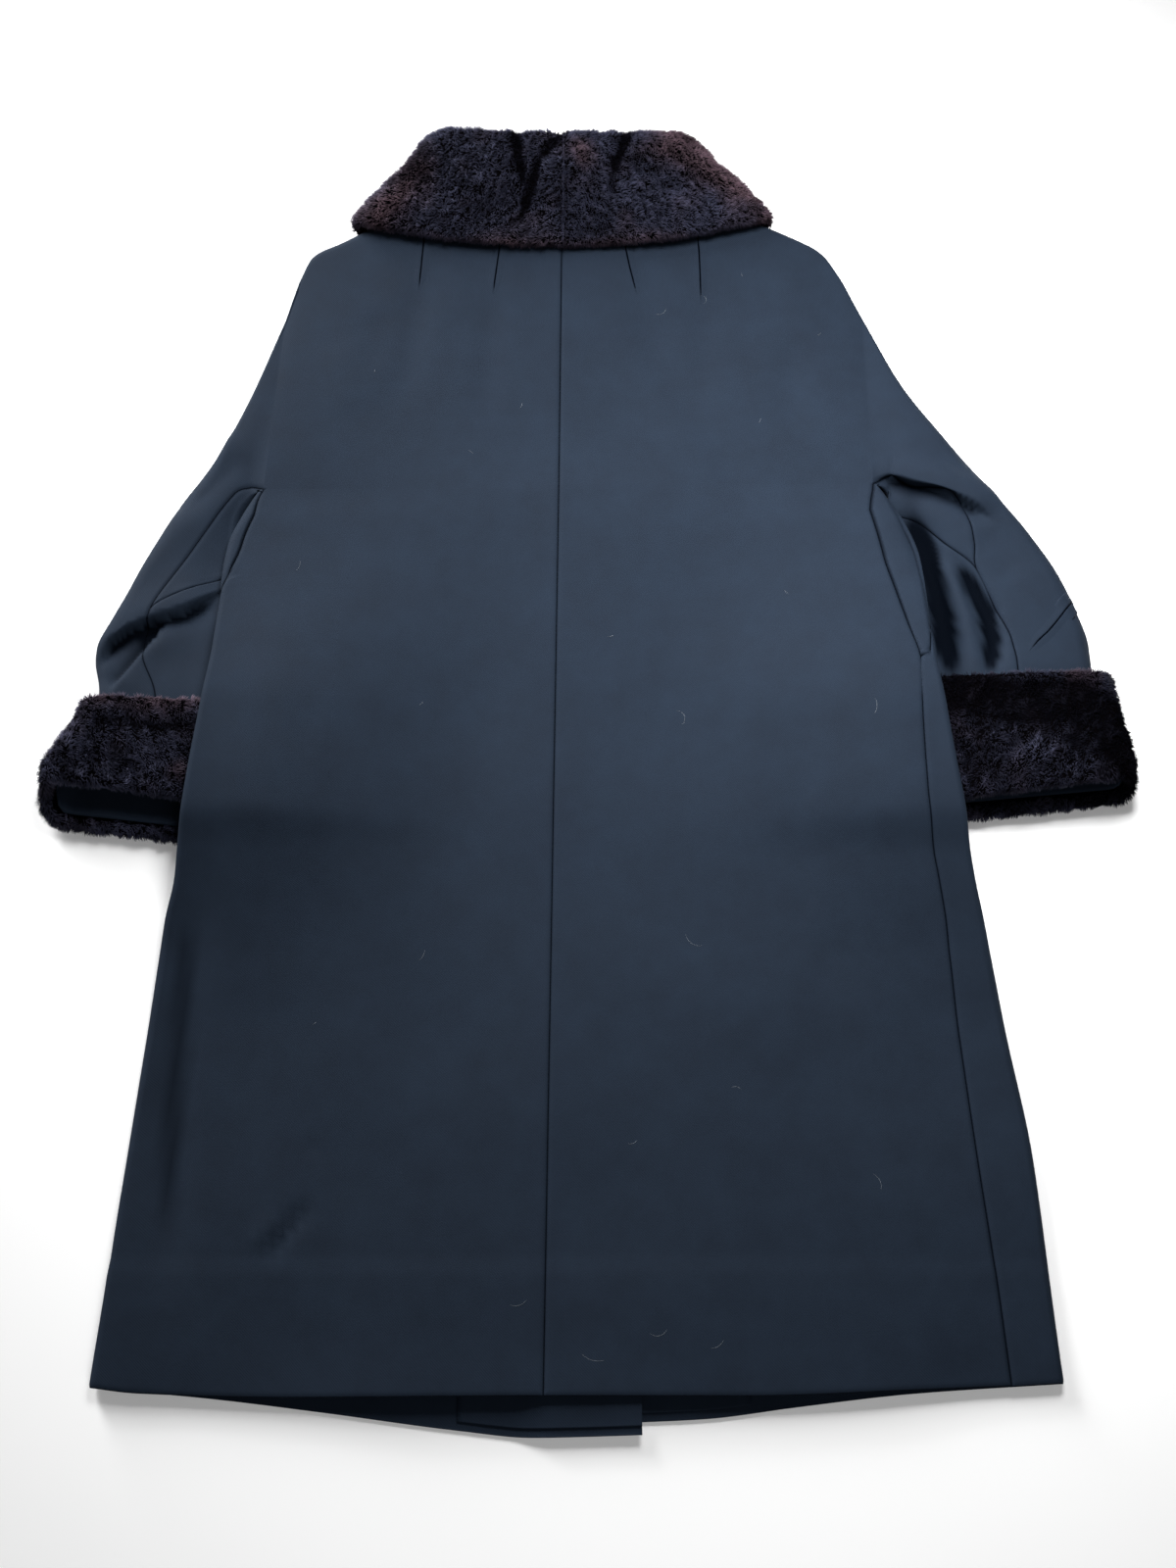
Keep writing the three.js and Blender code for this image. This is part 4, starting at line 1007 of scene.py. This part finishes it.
def dropped(tree, path):
    """Places of the plan dropped straight down onto the cloth, with the cloth's normals."""
    hits = [
        tree.ray_cast(
            Vector(((x - PLAN_X) / 1000, (y - PLAN_Y) / 1000, 0.2)), Vector((0, 0, -1))
        )
        for x, y in path
    ]
    place = np.array([hit[0] for hit in hits]) * 1000 + (PLAN_X, PLAN_Y, 0)
    return place, np.array([hit[1] for hit in hits])


def square_to(place, normal):
    """Unit directions along the cloth, square to a line of places on it."""
    along = np.gradient(place, axis=0)
    along /= np.linalg.norm(along, axis=1, keepdims=True)
    return np.cross(normal, along)


def tube(grid):
    """Corners and outward faces of a closed tube from its rings, with a fan over each end."""
    count, wide = grid.shape[:2]
    ids = np.arange(count * wide).reshape(count, wide)
    fan = np.stack([np.zeros(wide - 2, int), np.arange(1, wide - 1), np.arange(2, wide)], -1)
    sides = halved(np.concatenate([ids, ids[:, :1]], axis=1))
    faces = np.concatenate([*sides, fan, fan[:, ::-1] + ids[-1, 0]])
    corners = grid.reshape(-1, 3)
    p, q, r = (corners[faces[:, k]] for k in range(3))
    return corners, faces if (np.cross(p, q) * r).sum() > 0 else faces[:, ::-1]


def groove(name, tree, path):
    """The profile carried along a line on the cloth: across times the direction square to the
    line, plus up times the cloth's normal, both shrinking towards the line's end."""
    path = np.array(path, float)
    size = np.concatenate([[0], np.cumsum(np.hypot(*np.diff(path, axis=0).T))])
    at = np.linspace(0, size[-1], int(size[-1] / DART_STEP) + 2)
    line = np.stack([smooth(size, path[:, k], at) for k in range(2)], -1)
    place, normal = dropped(tree, line)
    square = square_to(place, normal)
    fade = ramp((1 - at / size[-1]) / DART_TAPER)[:, None]
    up = DART_GROOVE["up"][None]
    lift = np.where(up > -0.4, up * fade - 0.06 * (1 - fade), up)
    across = DART_GROOVE["across"][None] * mix(0.5, 1, fade)
    grid = place[:, None] + across[..., None] * square[:, None] + lift[..., None] * normal[:, None]
    # Painted shade in the groove, fading towards the dart's tip
    crease = {"crease": (DART_GROOVE["crease"][None] * np.sqrt(fade)).ravel()}
    return make(name, *tube(grid), navy_wool, "wool", crease)


depsgraph = bpy.context.evaluated_depsgraph_get()
cloth_trees = {
    side: BVHTree.FromObject(backs[f"back_{side}"], depsgraph) for side in ("left", "right")
}
darts = {"left": [], "right": []}
for name, path in DARTS:
    side = name.rsplit("_", 1)[1]
    darts[side].append(groove(name, cloth_trees[side], path))

# ---------------------------------------------------------------------------------------------
# Lint
# A few pale hairs and specks have settled on the dark cloth. Each is a fine fibre, bent in an
# arc, lying on the nap.

FIBRES = table(
    "x y length turn bend",
    (-61, 344, 7, 1.2, 0.6), (-217, -207, 3, 0.6, 0.3), (76, 45, 17, 1.7, 2.4),
    (232, 41, 15, 1.4, 1.1), (102, 451, 16, 2.0, 3.6), (78, -132, 18, -0.7, 1.6),
    (224, -337, 14, 1.9, 1.3), (-136, -156, 10, 1.0, 0.9), (-8, 126, 5, 0.2, 0.5),
    (60, 442, 12, 0.4, 2.0), (-100, 300, 6, 2.6, 0.8), (150, 330, 5, 1.1, 0.4),
    (-250, 180, 12, 1.2, 1.0), (30, -300, 8, 0.3, 1.2), (170, 160, 6, 2.2, 0.5),
    (-140, 60, 4, 0.9, 0.3), (120, -260, 9, 2.8, 1.5), (-60, -420, 14, 0.2, 1.4),
    (-30, -455, 18, -0.3, 1.0), (45, -440, 15, 0.1, 1.9), (90, -452, 12, 0.5, 1.2),
    (-190, 380, 4, 1.5, 0.4), (205, 420, 5, 0.7, 0.6), (140, 478, 4, 1.9, 0.2),
)  # fmt: skip
FIBRE_RADIUS, FIBRE_RINGS, SEAM_CLEAR = 0.1, 9, 20


def fibre(tree, x, y, length, turn, bend):
    """A four-sided tube along an arc of the given length, first direction and bend in radians,
    lying its own radius above the cloth, with closed ends."""
    at = np.linspace(0, 1, FIBRE_RINGS)
    way = turn + bend * (at - 0.5)
    step = length / (FIBRE_RINGS - 1) * np.stack([np.cos(way), np.sin(way)], -1)
    place, normal = dropped(tree, np.array([x, y]) + np.cumsum(step, axis=0))
    place = place + normal * FIBRE_RADIUS
    angle = np.arange(4)[:, None] * np.pi / 2
    ring = np.sin(angle) * normal[:, None] - np.cos(angle) * square_to(place, normal)[:, None]
    radius = FIBRE_RADIUS * np.sin(np.pi * mix(0.12, 0.88, at))[:, None, None]
    return tube(place[:, None] + radius * ring)


lint_paint, tree, pale = material_of("lint")
where = new_node(tree, "TexCoord", {})["Object"]
tone = new_node(tree, "TexNoise", {"Vector": where, "Scale": 60})["Fac"]
shades = ramped(tree, tone, (0, (0.03, 0.04, 0.05)), (1, (0.28, 0.31, 0.35)))
feed(tree, pale, {"Base Color": shades, "Roughness": 0.7})
corners, faces, count = [], [], 0
for x, y, *form in zip(*FIBRES.values()):
    near = x - centre_x(y)
    tree = cloth_trees["left" if near < -SEAM_CLEAR else "right"]
    x = x + 24 if abs(near) < SEAM_CLEAR else x
    p, t = fibre(tree, x, y, *form)
    corners.append(p)
    faces.append(t + count)
    count += len(p)
make("lint", np.concatenate(corners), np.concatenate(faces), lint_paint, "wool", {})

# ---------------------------------------------------------------------------------------------
# Cuffs
# Deep turn-back cuffs of sheared fur on its skin, each a closed ring round the sleeve end and
# open at the mouth. The pile is dense, wavy and about 11 mm deep, near black with a random
# red-brown cast, a painted red-brown sheen along its edges and painted shade in its dents.

CUFF_FORM = table(
    "rim outer middle inner under roll fold",
    (22, 43, 42, 35, 0, 20, 15), (22, 47, 44, 35, 0, 22, 15), (22, 47, 44, 35, 0, 22, 15),
    (21, 46, 43, 34, 0, 22, 15),
)  # fmt: skip
CUFF_LEFT = CUFF_FORM | table(
    "ox oy ix iy lean",
    (-422, 68, -264, 62, 0), (-434, 36, -262, 30, 4), (-451, 8, -261, -5, 18),
    (-452, -11, -262, -36, 31),
)  # fmt: skip
CUFF_RIGHT = CUFF_FORM | table(
    "ox oy ix iy lean",
    (439, 90, 273, 87, 0), (446, 55, 270, 50, 3), (454, 10, 267, 0, 8), (453, -9, 267, -30, 12),
)  # fmt: skip
CUFF_FUR, CUFF_UNDER, THICK_FROM = 11.5, 12, 1.2
PILE = 3.4
HAIR, HAIR_WIDE = 5.2, 0.5
FUR_LUMPS = ((0.8, 14, 3), (0.5, 6, 4))  # height, size and seed of each kind
RIM_DENSITY, CUFF_HAIRS, CUFF_AROUND = 1.6, 33000, 90
SWIRL, CLUMP_PARTS, FINE_SHARE = 0.9, 2.2, 0.6
LEAST_PILE = 0.1  # height to which the pile is pressed flat on the surface
LIFT, ALONG, LOOSE, LEAST_LEAN = 0.55, 0.5, 0.12, 0.35  # shares of a hair's direction
RIM_STEPS = np.array([0, 0.2, 0.7, 1.5, 2.6, 4.0])
lattices = {}


def lumps(place, size, seed):
    """Smooth random values from -1 to 1: random numbers on a lattice size mm apart, from a fixed
    seed, blended between its points by a smooth step."""
    if seed not in lattices:
        lattices[seed] = np.random.default_rng(seed).random((32, 32, 32))
    scaled = place / size
    base = np.floor(scaled).astype(int)
    share = ramp(scaled - base)
    total = np.zeros(len(place))
    for corner in np.ndindex(2, 2, 2):
        ids = (base + corner) % 32
        part = np.where(corner, share, 1 - share).prod(axis=1)
        total += part * lattices[seed][ids[:, 0], ids[:, 1], ids[:, 2]]
    return 2 * total - 1


def rounding(grid, reach, sides):
    """Share of a wall's full thickness: sqrt(1-(1-d)^2), d being the distance from the nearest of
    the sides named over its own part of the reach, so that the rims are round."""
    gaps = side_gaps(grid)
    near = np.min([gaps[name] / (reach * part) for name, part in sides.items()], axis=0)
    return np.sqrt(1 - (1 - np.clip(near, 0.004, 1)) ** 2)


def fur_base(name, grid, sign, start, thickness, sides, inside, dents):
    """The fur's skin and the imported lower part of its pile: a closed wall with round rims, its
    outer face raised by lumps and sunk along its dents. Gives the piece, its corners and faces,
    and for each corner how dense the pile is there: most at the rims, and none on the inner side
    except as far inside from the last row."""
    face, triangles, full = joined([grid], sign, [rounding(grid, thickness / 2, sides)])
    within = joined([grid], sign, [np.maximum(1 - side_gaps(grid)["b"] / inside, 0)])[2]
    normal = turned(face, triangles)
    middle = face + normal * (start - thickness / 2)
    half = thickness / 2 * full
    lump = sum(height * lumps(face, size, seed) for height, size, seed in FUR_LUMPS)
    lump += folds(face, dents)
    outer, inner = middle + normal * (half + full * lump)[:, None], middle - normal * half[:, None]
    corners, faces = closed_wall(outer, inner, triangles)
    corners[:, 2] = np.maximum(corners[:, 2], LEAST_PILE)
    rim = (full < 0.97) | (within > 0)
    furry = np.concatenate([mix(RIM_DENSITY, 1, full), RIM_DENSITY * rim])
    return make(name, corners, faces, dark_fur, "fur", {}), corners, faces, furry


def hairs(name, corners, faces, weight, count, grain, clump, unrest, dents, ruddy, seed):
    """Pile: closed three-sided spikes. Their roots are spread at random over the faces, by area
    times weight. They lean along the grain, swirled by slow lumps, and together in clumps that
    are longer along the grain. Each keeps its ruddy sheen value (a painted red-brown sheen along
    the lines given, and a random brown cast) and how light its end is: random, and darker in the
    dents and between the clumps by painted shade."""
    rng = np.random.default_rng(seed)
    a, b, c = (corners[faces[:, k]] for k in range(3))
    chance = np.linalg.norm(np.cross(b - a, c - a), axis=1) * weight[faces].mean(axis=1)
    pick = rng.choice(len(faces), count, p=chance / chance.sum())
    u, v = rng.random((2, count, 1))
    u, v = np.where(u + v > 1, 1 - u, u), np.where(u + v > 1, 1 - v, v)
    root, up = (
        x[faces[pick, 0]] * (1 - u - v) + x[faces[pick, 1]] * u + x[faces[pick, 2]] * v
        for x in (corners, turned(corners, faces))
    )
    up /= np.linalg.norm(up, axis=1, keepdims=True)
    grain = grain(root)
    main = grain.mean(axis=0) / np.linalg.norm(grain.mean(axis=0))
    drawn = root - 0.5 * (root @ main)[:, None] * main
    curl = np.stack([lumps(drawn, clump, 10 + k) for k in range(3)], -1)
    fine = np.stack([lumps(drawn, clump / CLUMP_PARTS, 20 + k) for k in range(3)], -1)
    loose = LOOSE * rng.normal(size=(count, 3))
    lean = LIFT * up + ALONG * grain + unrest * (curl + FINE_SHARE * fine) + loose
    lean += up * np.maximum(LEAST_LEAN - (lean * up).sum(1), 0)[:, None]
    lean /= np.linalg.norm(lean, axis=1, keepdims=True)
    length = HAIR * (0.8 + 0.4 * rng.random(count)) * (1 + 0.2 * lumps(root, 9, 30))
    first = np.cross(lean, rng.normal(size=(count, 3)))
    first /= np.linalg.norm(first, axis=1, keepdims=True)
    second = np.cross(lean, first)
    angle = np.arange(3)[:, None] * 2 * np.pi / 3
    ring = np.cos(angle) * first[:, None] + np.sin(angle) * second[:, None]
    base = (root - 0.8 * up)[:, None]
    tips = base + lean[:, None] * length[:, None, None]
    spikes = np.concatenate([base + HAIR_WIDE * ring, tips], axis=1).reshape(-1, 3)
    spikes[:, 2] = np.maximum(spikes[:, 2], LEAST_PILE)
    cone = np.array([(0, 1, 3), (1, 2, 3), (2, 0, 3), (0, 2, 1)])
    triangles = (np.arange(count)[:, None, None] * 4 + cone).reshape(-1, 3)
    # How light each hair's end is painted: random, in broad patches, and darker between the clumps
    # and in the dents (painted shade)
    light = mix(0.45, 1, rng.random(count))
    light *= 0.8 + 0.45 * curl[:, 0] + 0.25 * lumps(root, 22, 32)
    light *= 1 - np.clip(-0.6 * folds(root, dents), 0, 0.93)
    light = np.clip(light, 0.03, 1)
    values = {
        "tip": np.tile([0.0, 0.0, 0.0, 1.0], count) * np.repeat(light, 4),
        # Painted red-brown sheen along the lines given, plus a random brown cast
        "ruddy": np.repeat(folds(root, ruddy) + 0.25 * lumps(root, 16, 31), 4),
    }
    return make(name, spikes, triangles, dark_fur, "fur", values)


def fur_material(name):
    """Sheared fur: dull black at the root, a painted shade for the depth of the pile, and lighter
    and glossier at the tip by the tip value, which also carries the pile's painted shade; from a
    bluish black to a red brown by the ruddy sheen value, a painted sheen with a random cast."""
    material, tree, shade = material_of(name)
    tip, ruddy = (
        new_node(tree, "Attribute", {}, attribute_name=key)["Fac"] for key in ("tip", "ruddy")
    )
    where = new_node(tree, "TexCoord", {})["Object"]
    patch = new_node(tree, "TexNoise", {"Vector": where, "Scale": 34, "Detail": 4})["Fac"]
    twice = maths(tree, "MULTIPLY", ruddy, 1.9)
    red = maths(tree, "MULTIPLY", patch, twice, use_clamp=True)
    ends = {"Factor": red, "A": (0.077, 0.083, 0.145, 1), "B": (0.225, 0.142, 0.175, 1)}
    ends = new_node(tree, "Mix", ends, data_type="RGBA")["Result"]
    # Painted shade: roots and the bare skin near black, as if deep in the pile's own shade
    whole = {"Factor": tip, "A": (0.0012, 0.0010, 0.0014, 1), "B": ends}
    feed(tree, shade, {
        "Base Color": new_node(tree, "Mix", whole, data_type="RGBA")["Result"],
        "Roughness": 0.55, "Specular IOR Level": maths(tree, "MULTIPLY", tip, 0.36),
        "Specular Tint": (0.65, 0.68, 1.0, 1), "Sheen Weight": maths(tree, "MULTIPLY", tip, 0.06),
        "Sheen Roughness": 0.5, "Sheen Tint": (1.0, 0.85, 0.85, 1),
    })  # fmt: skip
    return material


dark_fur = fur_material("dark_fur")


def cuff_grid(rows):
    """The cuff's outer face: rings from its upper edge to the mouth, closer at both rims."""
    last = len(rows["ox"]) - 1
    mouth = last - 0.12 - RIM_STEPS[::-1] / 26
    rings = np.concatenate([0.09 + RIM_STEPS / 33, np.linspace(0.3, last - 0.33, 26), mouth])
    grid = ring_point(read(rows, rings[:, None]), np.linspace(0, 6, CUFF_AROUND)[None])
    grid[:, -1] = grid[:, 0]
    return grid


def swirled(way, size, seed):
    """A grain: one main way over the plan, turned to and fro by slow lumps."""

    def grain(place):
        turn = SWIRL * lumps(place, size, seed)
        x = way[0] * np.cos(turn) - way[1] * np.sin(turn)
        y = way[0] * np.sin(turn) + way[1] * np.cos(turn)
        return points(x, y, 0 * x)

    return grain


CUFF_LOOKS = {
    # grain, dents in the pile (also painted darker: painted shade), lines of painted red-brown
    # sheen
    "left": (
        (0.45, -0.9),
        ((((-430, 44), (-360, 36), (-290, 42)), 6, -1.4), (((-390, 22), (-340, 2)), 9, 0.9)),
        ((((-430, 66), (-360, 60), (-280, 62)), 11, 0.75), (((-345, 4), (-285, -18)), 12, 0.4)),
    ),
    "right": (
        (-0.35, -0.95),
        ((((215, 100), (309, 72), (355, 60), (400, 62), (430, 40), (448, -5), (470, -70)),
          18, -1.8),
         # The wide shallow line after this one darkens the whole cuff's pile: painted shade
         (((330, 14), (400, 18)), 9, 0.8), (((120, 40), (590, 20)), 70, -0.9)),
        ((((385, 88), (432, 78)), 11, 0.6), (((452, 45), (454, 5)), 7, 0.35)),
    ),
}
for side, rows, flat, area in (
    (LEFT, CUFF_LEFT, (0.385, 0.105), 0.0383), (RIGHT, CUFF_RIGHT, (0.395, 0.11), 0.0418),
):  # fmt: skip
    name = f"cuff_{side['name']}"
    way, dents, ruddy = CUFF_LOOKS[side["name"]]
    cuff, corners, faces, furry = fur_base(
        name, cuff_grid(rows), -side["sign"], -PILE, CUFF_FUR - PILE, {"a": 1, "b": 1}, 9, dents
    )
    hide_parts(name)
    shown = (corners[:, 2] > CUFF_UNDER) | (furry > THICK_FROM)
    weight = furry * np.where(shown, 1.0, 0.4)
    pile = hairs(
        f"{name}_pile", corners, faces, weight, CUFF_HAIRS, swirled(way, 30, 41), clump=6.0,
        unrest=0.8, dents=dents, ruddy=ruddy, seed=50,
    )  # fmt: skip

# ---------------------------------------------------------------------------------------------
# Collar
# A deep rounded collar of the same fur in two halves, seamed at the centre back. It stands at
# the neck, rolls over and falls on the back; its fronts lie beneath the coat.

COLLAR_MID_Y, COLLAR_END_X, COLLAR_SAG, FUR, HALF_GAP = 555.0, 12.0, 5.0, 11.0, 0.35
COLLAR_HAIRS, COLLAR_UNDER = 39000, 26  # the pile is thinner below that height
COLLAR_FORM = table(
    "backY backZ frontY frontZ roll",
    (564, 46.5, 505, 19, 14), (585, 46.5, 552, 19, 15), (604, 47, 588, 18.5, 15),
    (609, 49.5, 593, 15, 16), (604, 52, 588, 11.2, 18), (580, 50.5, 560, 11, 18),
    (543, 43.5, 512, 11, 15), (502, 35.6, 458, 11, 10),
)  # fmt: skip
COLLAR_LEFT = COLLAR_FORM | table(
    "side sideY",
    (-108, 594), (-124, 604), (-136, 613), (-140, 618), (-146, 614), (-159, 593), (-186, 564),
    (-213, 530),
)  # fmt: skip
COLLAR_RIGHT = COLLAR_FORM | table(
    "side sideY",
    (60, 592), (77, 601), (88, 609), (92, 613), (98, 609), (112, 590), (140, 565), (166, 535),
)  # fmt: skip


def collar_grid(rows, end_x):
    """The collar's skin: round the neck from centre back over the side fold to centre front, and
    from its neck seam over the roll to its free edge."""
    station = np.concatenate(
        [RIM_STEPS / 150, np.linspace(0.055, 1, 32), np.linspace(1, 2, 22)[1:],
         np.linspace(2, 3, 18)[1:]]
    )[None]  # fmt: skip
    last = len(rows["side"]) - 1
    at = np.concatenate([np.linspace(0.05, last - 0.25, 50), last - 0.07 - RIM_STEPS[::-1] / 44])
    row = read(rows, at[:, None])
    centre = centre_x(COLLAR_MID_Y)
    direction = np.sign(row["side"] - centre)
    width = np.abs(row["side"] - centre)
    flat = width - row["roll"]
    angle = np.clip(station - 1, 0, 1) * np.pi
    start = np.where(station > 2, direction * (end_x - centre), HALF_GAP)
    share = np.where(station > 2, 3 - station, np.minimum(station, 1))
    reach = mix(start, flat, share) + row["roll"] * np.sin(angle)
    bend = np.maximum(reach, 0) / width
    y = mix(mix(row["backY"], row["frontY"], (1 - np.cos(angle)) / 2), row["sideY"], bend**2)
    sag = COLLAR_SAG * bend**2 * np.maximum(np.cos(angle), 0)
    middle, half = (row["backZ"] + row["frontZ"]) / 2, (row["backZ"] - row["frontZ"]) / 2
    return points(centre + direction * reach, y, middle + half * np.cos(angle) - sag)


# Dents in the collar's pile; the hairs in them are also painted darker: painted shade
COLLAR_DENTS = (
    (((-66, 636), (-64, 606), (-61, 580), (-57, 548)), 4.5, -3.2),
    (((-12, 640), (-28, 606), (-45, 578), (-50, 555), (-70, 506)), 4.5, -3.0),
    (((38, 640), (33, 604), (25, 582), (18, 556)), 4.5, -3.2),
    (((-140, 610), (-165, 560)), 20, -1.0),
    (((-46, 600), (-38, 540)), 9, 0.9),
    (((10, 604), (6, 560)), 12, 0.7),
)
# Lines of painted red-brown sheen on the collar: its sides, beside the centre back and its lower
# rim, where the pile catches the light
RUDDY_SHEEN = (
    (((-212, 492), (-190, 535), (-150, 588), (-120, 606)), 20, 0.9),
    (((30, 606), (84, 606), (120, 588), (155, 552), (190, 500)), 22, 1.5),
    (((-14, 612), (-6, 585), (4, 570)), 12, 0.6),
    (((-216, 520), (-160, 510), (-115, 503), (-23, 498), (44, 502), (106, 512), (174, 528)),
     7, 1.0),
)  # fmt: skip

for side, rows, gap, way, flat, area in (
    (LEFT, COLLAR_LEFT, -0.7, (-0.4, -0.92), (0.43, 0.165), 0.0617),
    (RIGHT, COLLAR_RIGHT, 0.7, (0.6, -0.8), (0.36, 0.165), 0.0436),
):  # fmt: skip
    name = f"collar_{side['name']}"
    collar, corners, faces, furry = fur_base(
        name, collar_grid(rows, COLLAR_END_X + gap), side["sign"], FUR - PILE, FUR - PILE,
        {"a": 1, "b": 1, "c": 0.35, "d": 1}, 5, COLLAR_DENTS,
    )  # fmt: skip
    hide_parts(name)
    weight = furry * np.where(corners[:, 2] > COLLAR_UNDER, 1.0, 0.3)
    pile = hairs(
        f"{name}_pile", corners, faces, weight, COLLAR_HAIRS, swirled(way, 34, 42), clump=3.8,
        unrest=0.5, dents=COLLAR_DENTS, ruddy=RUDDY_SHEEN, seed=60,
    )  # fmt: skip
